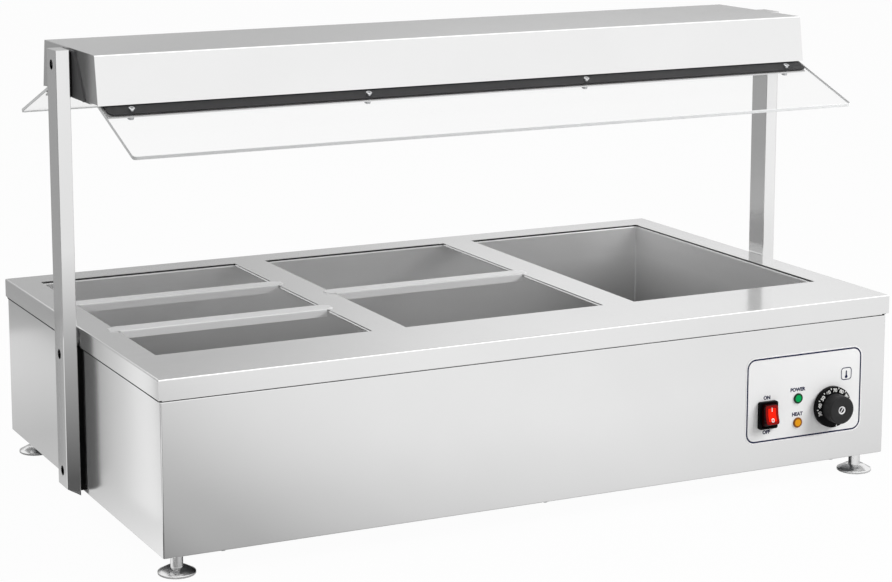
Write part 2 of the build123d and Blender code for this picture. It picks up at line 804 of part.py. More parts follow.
with BuildPart() as post_nuts:
    for side in (-1, 1):
        nut_seats = [(casing_half - casing_sheet, z) for z in post_screw_levels]
        nut_seats.append((hood_half - hood_sheet, hood_screw_level))
        for seat_x, seat_z in nut_seats:
            with BuildSketch(side_plane(side, seat_x, hood_mid, seat_z)):
                RegularPolygon(nut_across / 2, 6, major_radius=False)
                Circle(screw_diameter / 2 + nut_fit, mode=Mode.SUBTRACT)
            extrude(amount=-nut_height)
save(post_nuts, "post_nuts")

# Hood: a folded shell with a leaning front and back, two end plates and the posts' brackets
hood_section = Plane(origin=(0, hood_mid, 0), x_dir=(0, 1, 0), z_dir=(1, 0, 0))
with BuildPart() as hood_shell:
    with BuildSketch(hood_section):
        with BuildLine():
            FilletPolyline(
                (-hood_bottom_depth / 2, hood_bottom),
                (-hood_top_depth / 2, hood_top),
                (hood_top_depth / 2, hood_top),
                (hood_bottom_depth / 2, hood_bottom),
                radius=hood_bend,
            )
            offset(amount=hood_sheet, side=Side.RIGHT)
        make_face()
    extrude(amount=hood_half, both=True)
save(hood_shell, "hood_shell")

underside_half = hood_half - hood_sheet
for side, side_name in ((-1, "left"), (1, "right")):
    with BuildPart() as hood_end:
        with BuildSketch(side_plane(side, hood_half, hood_mid)) as hood_end_outline:
            with BuildLine():
                Polyline(
                    (-hood_bottom_depth / 2, hood_bottom),
                    (-hood_top_depth / 2, hood_top),
                    (hood_top_depth / 2, hood_top),
                    (hood_bottom_depth / 2, hood_bottom),
                    close=True,
                )
            make_face()
            offset(amount=-hood_sheet, kind=Kind.INTERSECTION)
            fillet(hood_end_outline.vertices().group_by(Axis.Z)[-1], radius=hood_bend)
            with Locations((0, hood_screw_level)):
                Circle(screw_hole / 2, mode=Mode.SUBTRACT)
        extrude(amount=-hood_sheet)
        with BuildSketch(level(hood_bottom)):
            with Locations((side * (hood_half - hood_end_flange / 2), hood_mid)):
                Rectangle(hood_end_flange, hood_end_flange_depth)
            with Locations((side * (hood_half - hood_end_flange / 2), hood_mid)):
                with GridLocations(0, hood_end_flange_depth / 2, 1, 2):
                    Circle(thread_hole / 2, mode=Mode.SUBTRACT)
        extrude(amount=hood_sheet)
    save(hood_end, f"hood_end_{side_name}")

    with BuildPart() as hood_bracket:
        with BuildSketch(side_plane(side, hood_half, hood_mid)):
            with BuildLine():
                Polyline(
                    (-bracket_bottom_width / 2, hood_bottom),
                    (-bracket_top_width / 2, hood_top - bracket_top_drop),
                    (bracket_top_width / 2, hood_top - bracket_top_drop),
                    (bracket_bottom_width / 2, hood_bottom),
                    close=True,
                )
            make_face()
            with Locations((0, hood_screw_level)):
                Circle(screw_hole / 2, mode=Mode.SUBTRACT)
        extrude(amount=bracket_thickness)
    save(hood_bracket, f"hood_bracket_{side_name}")

# Hood underside: a long plate whose edges are folded down on the slope to carry the sneeze guards
flange_rise = clamp_level + flange_level * cos(radians(glass_tilt))
flange_y = clamp_offset + flange_level * sin(radians(glass_tilt))
flange_run = (hood_bottom - flange_rise) / sin(radians(glass_tilt))
fold_y = flange_y - flange_run * cos(radians(glass_tilt))
flange_tip_y = flange_y - gasket_front * cos(radians(glass_tilt))
flange_tip_z = flange_rise + gasket_front * sin(radians(glass_tilt))
with BuildPart() as hood_underside:
    with BuildSketch(hood_section):
        with BuildLine():
            Polyline(
                (-flange_tip_y, flange_tip_z),
                (-fold_y, hood_bottom),
                (fold_y, hood_bottom),
                (flange_tip_y, flange_tip_z),
            )
            offset(amount=underside_sheet, side=Side.RIGHT)
        make_face()
    extrude(amount=strip_half, both=True)
    with BuildSketch(level(hood_bottom)):
        with Locations((0, hood_mid)):
            Rectangle(2 * underside_half, hood_end_flange_depth)
    extrude(amount=-underside_sheet)
    with BuildSketch(level(hood_bottom)):
        with Locations((0, hood_mid)):
            with GridLocations(2 * hood_half - hood_end_flange, hood_end_flange_depth / 2, 2, 2):
                Circle(thread_hole / 2)
    extrude(amount=-underside_sheet, mode=Mode.SUBTRACT)
    for clamp in clamp_planes.values():
        with BuildSketch(clamp.offset(flange_level)):
            with Locations(*clamp_bolt_row):
                Circle(clamp_bolt / 2 + clamp_bolt_fit)
        extrude(amount=-underside_sheet, mode=Mode.SUBTRACT)
save(hood_underside, "hood_underside")

with BuildPart() as underside_screws:
    underside_screw_places = GridLocations(
        2 * hood_half - hood_end_flange, hood_end_flange_depth / 2, 2, 2
    ).local_locations
    with BuildSketch(level(hood_bottom - underside_sheet)):
        with Locations((0, hood_mid)):
            with Locations(*underside_screw_places):
                Circle(small_head / 2)
    extrude(amount=-small_head_height)
    chamfer(underside_screws.faces().group_by(Axis.Z)[0].edges(), length=small_head_edge)
    with BuildSketch(level(hood_bottom - underside_sheet)):
        with Locations((0, hood_mid)):
            with Locations(*underside_screw_places):
                Circle(small_screw / 2)
    extrude(amount=small_screw_length)
save(underside_screws, "underside_screws")

# Sneeze guards: a glass panel on each side of the hood, clamped between a gasket and a dark strip
for side_name, clamp in clamp_planes.items():
    with BuildPart() as glass:
        with BuildSketch(clamp.offset(glass_level)) as glass_outline:
            with Locations((0, strip_back)):
                Rectangle(2 * glass_half, glass_width, align=(Align.CENTER, Align.MAX))
            fillet(glass_outline.vertices(), radius=glass_corner)
            with Locations(*clamp_bolt_row):
                Circle(glass_hole / 2, mode=Mode.SUBTRACT)
        extrude(amount=-glass_thickness)
    save(glass, f"glass_{side_name}")

    with BuildPart() as gasket:
        with BuildSketch(clamp.offset(gasket_level)):
            with Locations((0, gasket_front)):
                Rectangle(2 * strip_half, strip_width - gasket_inset, align=(Align.CENTER, Align.MIN))
            with Locations(*clamp_bolt_row):
                Circle(clamp_bolt / 2 + clamp_bolt_fit, mode=Mode.SUBTRACT)
        extrude(amount=-gasket_thickness)
    save(gasket, f"glass_gasket_{side_name}")

    with BuildPart() as strip:
        with BuildSketch(clamp) as strip_outline:
            with Locations((0, strip_front)):
                Rectangle(2 * strip_half, strip_width, align=(Align.CENTER, Align.MIN))
            fillet(strip_outline.vertices().group_by(Axis.Z)[0], radius=strip_corner)
            with Locations(*clamp_bolt_row):
                Circle(clamp_bolt / 2 + clamp_bolt_fit, mode=Mode.SUBTRACT)
        extrude(amount=-strip_thickness)
    save(strip, f"clamp_strip_{side_name}")

with BuildPart() as clamp_bolts:
    for clamp in clamp_planes.values():
        with BuildSketch(clamp):
            with Locations(*clamp_bolt_row):
                Circle(clamp_head / 2)
        extrude(amount=clamp_head_height)
        with BuildSketch(clamp.offset(clamp_head_height)):
            with Locations(*clamp_bolt_row):
                RegularPolygon(clamp_socket / 2, 6, major_radius=False)
        extrude(amount=-clamp_socket_depth, mode=Mode.SUBTRACT)
        with BuildSketch(clamp):
            with Locations(*clamp_bolt_row):
                Circle(clamp_bolt / 2)
        extrude(amount=-(clamp_grip + clamp_nut_height + clamp_thread_end))
save(clamp_bolts, "clamp_bolts")

with BuildPart() as clamp_nuts:
    for clamp in clamp_planes.values():
        with BuildSketch(clamp.offset(-clamp_grip)):
            with Locations(*clamp_bolt_row):
                RegularPolygon(clamp_nut_across / 2, 6, major_radius=False)
                Circle(clamp_bolt / 2 + nut_fit, mode=Mode.SUBTRACT)
        extrude(amount=-clamp_nut_height)
save(clamp_nuts, "clamp_nuts")

# Control film: a thin sheet on the front with openings for the controls
with BuildPart() as control_overlay:
    with BuildSketch(front_plane(0, 0)):
        with Locations((overlay_x, overlay_z)):
            RectangleRounded(overlay_length, overlay_height, overlay_corner)
        with Locations((switch_x, control_z)):
            Rectangle(
                switch_body_width + 2 * cutout_fit, switch_body_height + 2 * cutout_fit, mode=Mode.SUBTRACT
            )
        with Locations(*[(lamp_x, z) for z in lamp_places.values()]):
            Circle(lamp_barrel / 2 + lamp_hole_fit, mode=Mode.SUBTRACT)
        with Locations((knob_x, control_z)):
            Circle(shaft_hole / 2, mode=Mode.SUBTRACT)
            with GridLocations(thermostat_screw_pitch, 0, 2, 1):
                Circle(thermostat_screw_head / 2 + cutout_fit, mode=Mode.SUBTRACT)
    extrude(amount=overlay_thickness)
save(control_overlay, "control_overlay")

# Rocker switch: a housing with a bezel, and a rocker that turns on two stub pins
with BuildPart() as switch_housing:
    with BuildSketch(front_plane(switch_x, control_z, overlay_thickness)):
        RectangleRounded(bezel_width, bezel_height, bezel_corner)
    extrude(amount=bezel_thickness)
    with BuildSketch(front_plane(switch_x, control_z, overlay_thickness)):
        Rectangle(switch_body_width, switch_body_height)
    extrude(amount=-(overlay_thickness + switch_depth))
    with BuildSketch(front_plane(switch_x, control_z, overlay_thickness + bezel_thickness)):
        Rectangle(window_width, window_height)
    extrude(amount=-(overlay_thickness + bezel_thickness + pocket_depth), mode=Mode.SUBTRACT)
    for side in (-1, 1):
        with BuildSketch(
            Plane(origin=(switch_x + side * window_width / 2, casing_front, control_z), z_dir=(side, 0, 0))
        ):
            Circle(pivot_diameter / 2 + pivot_fit)
        extrude(amount=pivot_length + pivot_end_gap, mode=Mode.SUBTRACT)
    with BuildSketch(front_plane(switch_x, control_z, -switch_depth)):
        with GridLocations(spade_pitch, spade_pitch, 2, 2):
            Rectangle(spade_width, spade_sheet)
    extrude(amount=-spade_length)
save(switch_housing, "switch_housing")

rocker_plane = Plane(
    origin=(switch_x, casing_front, control_z),
    x_dir=(0, sin(radians(rocker_tilt)), cos(radians(rocker_tilt))),
    z_dir=(1, 0, 0),
)
rocker_radius = rocker_height / 2
rocker_front = rocker_radius - rocker_reach * tan(radians(rocker_tilt))
keel_half = (rocker_radius**2 - rocker_keel**2) ** 0.5
with BuildPart() as switch_rocker:
    with BuildSketch(rocker_plane):
        with BuildLine():
            Polyline(
                (rocker_radius, 0),
                (rocker_front, rocker_reach),
                (0, rocker_reach - rocker_dip),
                (-rocker_front, rocker_reach),
                (-rocker_radius, 0),
            )
            RadiusArc((-rocker_radius, 0), (-keel_half, -rocker_keel), -rocker_radius)
            Line((-keel_half, -rocker_keel), (keel_half, -rocker_keel))
            RadiusArc((keel_half, -rocker_keel), (rocker_radius, 0), -rocker_radius)
        make_face()
    extrude(amount=rocker_width / 2, both=True)
    rocker_corners = switch_rocker.edges().filter_by(Axis.X, reverse=True).filter_by_position(
        Axis.Y, casing_front - rocker_reach * 3 / 4, casing_front - rocker_reach / 4
    )
    fillet(rocker_corners, radius=rocker_corner)
    rocker_ends = switch_rocker.edges().filter_by(Axis.X).filter_by_position(
        Axis.Y, casing_front - 2 * rocker_reach, casing_front - rocker_reach / 2
    )
    fillet(rocker_ends.sort_by(Axis.Z)[0], radius=rocker_edge)
    fillet(rocker_ends.sort_by(Axis.Z)[-1], radius=rocker_edge)
    with BuildSketch(rocker_plane):
        Circle(pivot_diameter / 2)
    extrude(amount=rocker_width / 2 + rocker_fit + pivot_length, both=True)
save(switch_rocker, "switch_rocker")

# Pilot lamps: a coloured lens on the film and a barrel with its ring behind the casing
for lamp_name, lamp_z in lamp_places.items():
    with BuildPart() as lamp_lens_piece:
        with BuildSketch(front_section(lamp_x, lamp_z)):
            with BuildLine():
                Polyline(
                    (0, overlay_thickness),
                    (lamp_lens / 2, overlay_thickness),
                    (lamp_lens / 2, overlay_thickness + lamp_lens_height - lamp_lens_edge),
                    (lamp_lens / 2 - lamp_lens_edge, overlay_thickness + lamp_lens_height),
                    (lamp_face / 2, overlay_thickness + lamp_lens_height),
                    (lamp_face / 2 - lamp_face_drop, overlay_thickness + lamp_lens_height - lamp_face_drop),
                    (0, overlay_thickness + lamp_lens_height - lamp_face_drop),
                    close=True,
                )
            make_face()
        revolve(axis=front_axis(lamp_x, lamp_z))
    save(lamp_lens_piece, f"{lamp_name}_lens")

    with BuildPart() as lamp_body:
        with BuildSketch(front_plane(lamp_x, lamp_z, overlay_thickness)):
            Circle(lamp_barrel / 2)
        extrude(amount=-(overlay_thickness + lamp_depth))
        with BuildSketch(front_plane(lamp_x, lamp_z, -casing_sheet)):
            Circle(lamp_ring / 2)
        extrude(amount=-lamp_ring_height)
        with BuildSketch(front_plane(lamp_x, lamp_z, -lamp_depth)):
            with GridLocations(0, lamp_barrel / 2, 1, 2):
                Rectangle(lamp_barrel / 2, spade_sheet)
        extrude(amount=-spade_length)
    save(lamp_body, f"{lamp_name}_body")

# Thermostat: a body behind the front, a shaft through it, and a sensing bulb on the tank's front wall
thermostat_back = casing_front + casing_sheet + thermostat_depth
with BuildPart() as thermostat_body:
    with BuildSketch(front_plane(knob_x, control_z, -casing_sheet)):
        Rectangle(thermostat_width, thermostat_height)
    extrude(amount=-thermostat_depth)
    with BuildSketch(front_plane(knob_x, control_z, -casing_sheet)):
        Circle(shaft_diameter / 2 + shaft_fit)
    extrude(amount=-(shaft_seat + shaft_end_gap), mode=Mode.SUBTRACT)
    with BuildSketch(front_plane(knob_x, control_z, -casing_sheet)):
        with GridLocations(thermostat_screw_pitch, 0, 2, 1):
            Circle(thermostat_screw / 2 + nut_fit)
    extrude(amount=-(thermostat_screw_length - casing_sheet + thermostat_screw_gap), mode=Mode.SUBTRACT)
save(thermostat_body, "thermostat_body")

with BuildPart() as thermostat_screws:
    with BuildSketch(front_plane(knob_x, control_z)):
        with GridLocations(thermostat_screw_pitch, 0, 2, 1):
            Circle(thermostat_screw_head / 2)
    extrude(amount=thermostat_screw_head_height)
    with BuildSketch(front_plane(knob_x, control_z)):
        with GridLocations(thermostat_screw_pitch, 0, 2, 1):
            Circle(thermostat_screw / 2)
    extrude(amount=-thermostat_screw_length)
save(thermostat_screws, "thermostat_screws")

knob_back = overlay_thickness + knob_gap
with BuildPart() as thermostat_shaft:
    with BuildSketch(front_plane(knob_x, control_z, knob_back + knob_bore_depth)):
        Circle(shaft_diameter / 2)
    extrude(amount=-(knob_back + knob_bore_depth + casing_sheet + shaft_seat))
save(thermostat_shaft, "thermostat_shaft")

bulb_x = knob_x - thermostat_width
bulb_y = well_front - tank_sheet - bulb_gap - bulb_diameter / 2
bulb_z = tank_floor + bulb_rise
with BuildPart() as thermostat_bulb:
    with BuildSketch(Plane(origin=(bulb_x, bulb_y, bulb_z), x_dir=(0, 1, 0), z_dir=(1, 0, 0))):
        Circle(bulb_diameter / 2)
    extrude(amount=-bulb_length)
    with BuildLine() as capillary_path:
        FilletPolyline(
            (bulb_x, bulb_y, bulb_z),
            (bulb_x + capillary_lead, bulb_y, bulb_z),
            (knob_x, thermostat_back + capillary_lead, control_z),
            (knob_x, thermostat_back, control_z),
            radius=capillary_bend,
        )
    with BuildSketch(Plane(origin=(bulb_x, bulb_y, bulb_z), x_dir=(0, 1, 0), z_dir=(1, 0, 0))):
        Circle(capillary_diameter / 2)
    sweep(path=capillary_path.line)
save(thermostat_bulb, "thermostat_bulb")

# Knob: a turned grip on a dial skirt, hollow behind, with a bright cap in its face
with BuildPart() as knob:
    with BuildSketch(front_section(knob_x, control_z)):
        with BuildLine():
            Polyline(
                (0, knob_back + knob_back_recess),
                (knob_skirt / 2 - knob_back_wall, knob_back + knob_back_recess),
                (knob_skirt / 2 - knob_back_wall, knob_back),
                (knob_skirt / 2, knob_back),
                (knob_skirt / 2, knob_back + knob_skirt_rim),
                (knob_base / 2, knob_back + knob_dial_rise),
                (knob_front / 2, knob_back + knob_height - knob_edge),
                (knob_front / 2 - knob_edge, knob_back + knob_height),
                (knob_cap / 2 + knob_cap_fit, knob_back + knob_height),
                (knob_cap / 2 + knob_cap_fit, knob_back + knob_height - knob_cap_recess),
                (0, knob_back + knob_height - knob_cap_recess),
                close=True,
            )
        make_face()
    revolve(axis=front_axis(knob_x, control_z))
    with BuildSketch(front_plane(knob_x, control_z, knob_back)):
        Circle(shaft_diameter / 2 + shaft_fit)
    extrude(amount=knob_bore_depth, mode=Mode.SUBTRACT)
save(knob, "knob")

with BuildPart() as knob_cap_piece:
    with BuildSketch(front_plane(knob_x, control_z, knob_back + knob_height - knob_cap_recess)):
        Circle(knob_cap / 2)
        Circle(knob_cap_hole / 2, mode=Mode.SUBTRACT)
    extrude(amount=knob_cap_height)
save(knob_cap_piece, "knob_cap")

# Cable gland in the back panel, its lock nut inside, and the terminal block behind it
with BuildPart() as cable_gland:
    with BuildSketch(Plane(origin=(gland_x, casing_back, gland_z), x_dir=(1, 0, 0), z_dir=(0, 0, 1))):
        with BuildLine():
            Polyline(
                (gland_bore / 2, -gland_thread_length),
                (gland_thread / 2, -gland_thread_length),
                (gland_thread / 2, gland_hex_height / 2),
                (gland_cap / 2, gland_hex_height),
                (gland_cap / 2, gland_reach - (gland_cap - gland_mouth) / 2),
                (gland_mouth / 2, gland_reach),
                (gland_bore / 2, gland_reach),
                close=True,
            )
        make_face()
    revolve(axis=Axis((gland_x, casing_back, gland_z), (0, 1, 0)))
    with BuildSketch(Plane(origin=(gland_x, casing_back, gland_z), x_dir=(1, 0, 0), z_dir=(0, 1, 0))):
        RegularPolygon(gland_hex / 2, 6, major_radius=False)
        Circle(gland_bore / 2, mode=Mode.SUBTRACT)
    extrude(amount=gland_hex_height)
save(cable_gland, "cable_gland")

with BuildPart() as gland_nut:
    with BuildSketch(
        Plane(origin=(gland_x, casing_back - casing_sheet, gland_z), x_dir=(1, 0, 0), z_dir=(0, -1, 0))
    ):
        RegularPolygon(gland_hex / 2, 6, major_radius=False)
        Circle(gland_thread / 2 + nut_fit, mode=Mode.SUBTRACT)
    extrude(amount=gland_nut_height)
save(gland_nut, "gland_nut")

with BuildPart() as terminal_block:
    with BuildSketch(level(base_top)):
        with Locations((gland_x, casing_back - terminal_setback)):
            Rectangle(terminal_length, terminal_depth)
    extrude(amount=terminal_height)
    with BuildSketch(level(base_top + terminal_height)):
        with Locations((gland_x, casing_back - terminal_setback)):
            with GridLocations(terminal_length / terminal_ways, terminal_depth / 2, terminal_ways, 2):
                Circle(terminal_hole / 2)
    extrude(amount=-terminal_height / 2, mode=Mode.SUBTRACT)
save(terminal_block, "terminal_block")
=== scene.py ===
"""Looks of a dry bain-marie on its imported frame: finishes, finer pieces, printed film, studio and camera."""

import logging
import math
from collections.abc import Iterable, Mapping, Sequence
from dataclasses import dataclass
from enum import Enum
from typing import ClassVar

import bmesh
import bpy
from mathutils import Matrix, Vector


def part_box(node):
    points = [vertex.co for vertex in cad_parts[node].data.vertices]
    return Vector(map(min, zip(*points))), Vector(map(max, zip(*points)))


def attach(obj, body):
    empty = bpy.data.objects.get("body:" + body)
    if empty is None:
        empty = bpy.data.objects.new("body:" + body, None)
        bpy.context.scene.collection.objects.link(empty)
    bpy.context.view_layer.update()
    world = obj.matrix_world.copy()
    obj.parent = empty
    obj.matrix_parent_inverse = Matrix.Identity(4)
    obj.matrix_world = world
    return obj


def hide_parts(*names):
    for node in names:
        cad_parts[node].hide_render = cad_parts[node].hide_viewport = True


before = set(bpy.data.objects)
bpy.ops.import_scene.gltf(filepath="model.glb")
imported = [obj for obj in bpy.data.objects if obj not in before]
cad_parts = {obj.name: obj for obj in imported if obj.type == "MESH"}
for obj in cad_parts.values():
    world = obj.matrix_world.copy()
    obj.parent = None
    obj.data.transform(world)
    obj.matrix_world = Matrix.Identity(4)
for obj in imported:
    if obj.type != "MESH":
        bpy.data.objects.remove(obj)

log = logging.getLogger("bain_marie")

Colour = tuple[float, float, float]
Point = tuple[float, float]
Feed = float | Sequence[float] | bpy.types.NodeSocket
Feeds = Mapping[str | int, Feed]

# Every length is in metres, apart from the camera's lens and sensor.
MM = 0.001
# Steps of a full turn and of a bolt's head, and facets round a plate's corner and a rounded edge.
TURN_STEPS = 72
HEAD_STEPS = 24
CORNER_STEPS = 8
EDGE_STEPS = 6
# Half of a shape that is made one unit large and then scaled.
UNIT_HALF = 0.5
# Points closer than the first are one point, and heights closer than the second are one height.
WELD_DISTANCE = MM / 1000
LEVEL_DISTANCE = MM / 100
# Edges sharper than this are rounded off, and shaded as edges.
SHARP_ANGLE = math.radians(32.0)
# Share of upright from which a face lies flat, and share of a direction from which an edge runs along it.
FLAT_SHARE = 0.9
FULL_SHARE = 0.999


class Grain(Enum):
    """Waves of the fine surface noise per metre, along X, Y and Z."""

    ALONG_X = (5.0, 650.0, 650.0)
    ALONG_Z = (650.0, 650.0, 5.0)
    EVEN = (800.0, 800.0, 800.0)
    SATIN = (260.0, 260.0, 260.0)
    CLEAR = (35.0, 35.0, 35.0)


class Body(Enum):
    """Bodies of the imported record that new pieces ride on."""

    UNIT = "unit"
    ROCKER = "rocker"
    KNOB = "thermostat_knob"
    FOOT_FRONT_LEFT = "foot_front_left"
    FOOT_FRONT_RIGHT = "foot_front_right"
    FOOT_BACK_LEFT = "foot_back_left"
    FOOT_BACK_RIGHT = "foot_back_right"


class Recipe:
    """The shader nodes of one material or of the world."""

    def __init__(self, owner: bpy.types.Material | bpy.types.World) -> None:
        """Switches the owner's nodes on.

        Args:
            owner: Material or world that the nodes belong to.
        """
        owner.use_nodes = True
        self.nodes = owner.node_tree.nodes
        self.links = owner.node_tree.links

    def add(self, kind: str, feeds: Feeds | None = None, **settings: object) -> bpy.types.Node:
        """Adds a node.

        Args:
            kind: Kind of node, without the ShaderNode that its name begins with.
            feeds: What goes into its inputs.
            settings: Its other settings.

        Returns:
            The node.
        """
        node = self.nodes.new(f"ShaderNode{kind}")
        for name, setting in settings.items():
            setattr(node, name, setting)
        self.feed(node, feeds or {})
        return node

    def feed(self, node: bpy.types.Node, feeds: Feeds) -> None:
        """Feeds a node's inputs.

        Args:
            node: The node.
            feeds: For the name or number of each input, its value or the output that it is linked to.
        """
        for key, source in feeds.items():
            if isinstance(source, bpy.types.NodeSocket):
                self.links.new(source, node.inputs[key])
            else:
                node.inputs[key].default_value = source

    def mixed(self, share: Feed, first: Feed, second: Feed) -> bpy.types.NodeSocket:
        """Mixes two shaders.

        Args:
            share: Share of the second one.
            first: The first shader.
            second: The second shader.

        Returns:
            The mixture.
        """
        return self.add("MixShader", {"Fac": share, 1: first, 2: second}).outputs["Shader"]


@dataclass(frozen=True)
class Finish:
    """A surface finish, made of shader nodes over Object coordinates.

    Attributes:
        name: Name of the finish.
        slot: Material slot of the record that the finish belongs to; not used.
        colour: Linear base colour.
        roughness: Middle roughness.
        metallic: 1 for bare metal.
        grain: Waves of the fine noise.
        spread: How far the fine noise moves the roughness either way.
        relief: Strength of the bump from the fine noise.
        mottle: How far broad clouds move the colour, as a share of it.
        coat: Weight of a clear coat.
        transmission: 1 for clear glass.
        ior: Index of refraction.
        glow: Strength of the light that the piece gives off in its own colour.
        shade_height: Height from which the colour is darkened downwards, a painted shade of the lower walls of
            the wells.
        shade_depth: How far below that the painted shade is darkest.
        shade_share: Share of the colour that is left there.
    """

    name: str
    slot: str
    colour: Colour
    roughness: float
    metallic: float = 0.0
    grain: Grain = Grain.EVEN
    spread: float = 0.05
    relief: float = 0.01
    mottle: float = 0.03
    coat: float = 0.0
    transmission: float = 0.0
    ior: float = 1.5
    glow: float = 0.0
    shade_height: float = 0.0
    shade_depth: float = 0.0
    shade_share: float = 1.0

    # Waves of the broad clouds per metre, depth of the relief, and finer layers within the fine noise.
    CLOUD_WAVES: ClassVar[float] = 7.0
    RELIEF_DEPTH: ClassVar[float] = 0.1 * MM
    NOISE_LAYERS: ClassVar[float] = 3.0

    def material(self) -> bpy.types.Material:
        """Hands out the finish's material, which is made once.

        Returns:
            The material.
        """
        label = f"{self.name}_finish"
        made = bpy.data.materials.get(label)
        if made is None:
            made = self._make(label)
        return made

    def _make(self, label: str) -> bpy.types.Material:
        """Builds the node tree.

        Args:
            label: Name of the material, which no material of the frame has.

        Returns:
            The new material.
        """
        material = bpy.data.materials.new(label)
        recipe = Recipe(material)
        place = recipe.add("TexCoord").outputs["Object"]
        stretch = recipe.add("Mapping", {"Vector": place, "Scale": self.grain.value})
        grain = {"Vector": stretch.outputs["Vector"], "Scale": 1.0, "Detail": self.NOISE_LAYERS}
        fine = recipe.add("TexNoise", grain).outputs["Fac"]
        gloss = recipe.add("MapRange", {
            "Value": fine,
            "To Min": max(self.roughness - self.spread, 0.0),
            "To Max": self.roughness + self.spread,
        })
        bump = recipe.add("Bump", {"Height": fine, "Strength": self.relief, "Distance": self.RELIEF_DEPTH})
        clouds = recipe.add("TexNoise", {"Vector": place, "Scale": self.CLOUD_WAVES})
        tint = recipe.add("ValToRGB", {"Fac": clouds.outputs["Fac"]})
        for stop, share in zip(tint.color_ramp.elements, (1.0 - self.mottle, 1.0 + self.mottle)):
            stop.color = (*(min(channel * share, 1.0) for channel in self.colour), 1.0)
        recipe.feed(recipe.nodes["Principled BSDF"], {
            "Base Color": self._painted_shade(recipe, place, tint.outputs["Color"]),
            "Metallic": self.metallic,
            "Roughness": gloss.outputs["Result"],
            "IOR": self.ior,
            "Normal": bump.outputs["Normal"],
            "Transmission Weight": self.transmission,
            "Coat Weight": self.coat,
            "Emission Color": (*self.colour, 1.0),
            "Emission Strength": self.glow,
        })
        return material

    def _painted_shade(
        self, recipe: Recipe, place: bpy.types.NodeSocket, colour: bpy.types.NodeSocket
    ) -> bpy.types.NodeSocket:
        """Darkens the colour towards the bottom, where the finish says so: painted shade.

        Args:
            recipe: Nodes that do it.
            place: Object coordinates.
            colour: Colour before.

        Returns:
            The colour after.
        """
        if self.shade_share == 1.0:
            return colour
        left = recipe.add("MapRange", {
            "Value": recipe.add("SeparateXYZ", {"Vector": place}).outputs["Z"],
            "From Min": self.shade_height - self.shade_depth,
            "From Max": self.shade_height,
            "To Min": self.shade_share,
        })
        feeds = {"Vector": colour, "Scale": left.outputs["Result"]}
        return recipe.add("VectorMath", feeds, operation="SCALE").outputs["Vector"]

    def dress(self, node_names: Iterable[str]) -> None:
        """Gives the finish to nodes of the frame.

        Args:
            node_names: Names of the nodes.
        """
        for node_name in node_names:
            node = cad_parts[node_name]
            if not node.material_slots:
                node.data.materials.append(None)
            for slot in node.material_slots:
                slot.link = "OBJECT"
                slot.material = self.material()
            log.info("dressed %s in %s", node_name, self.name)


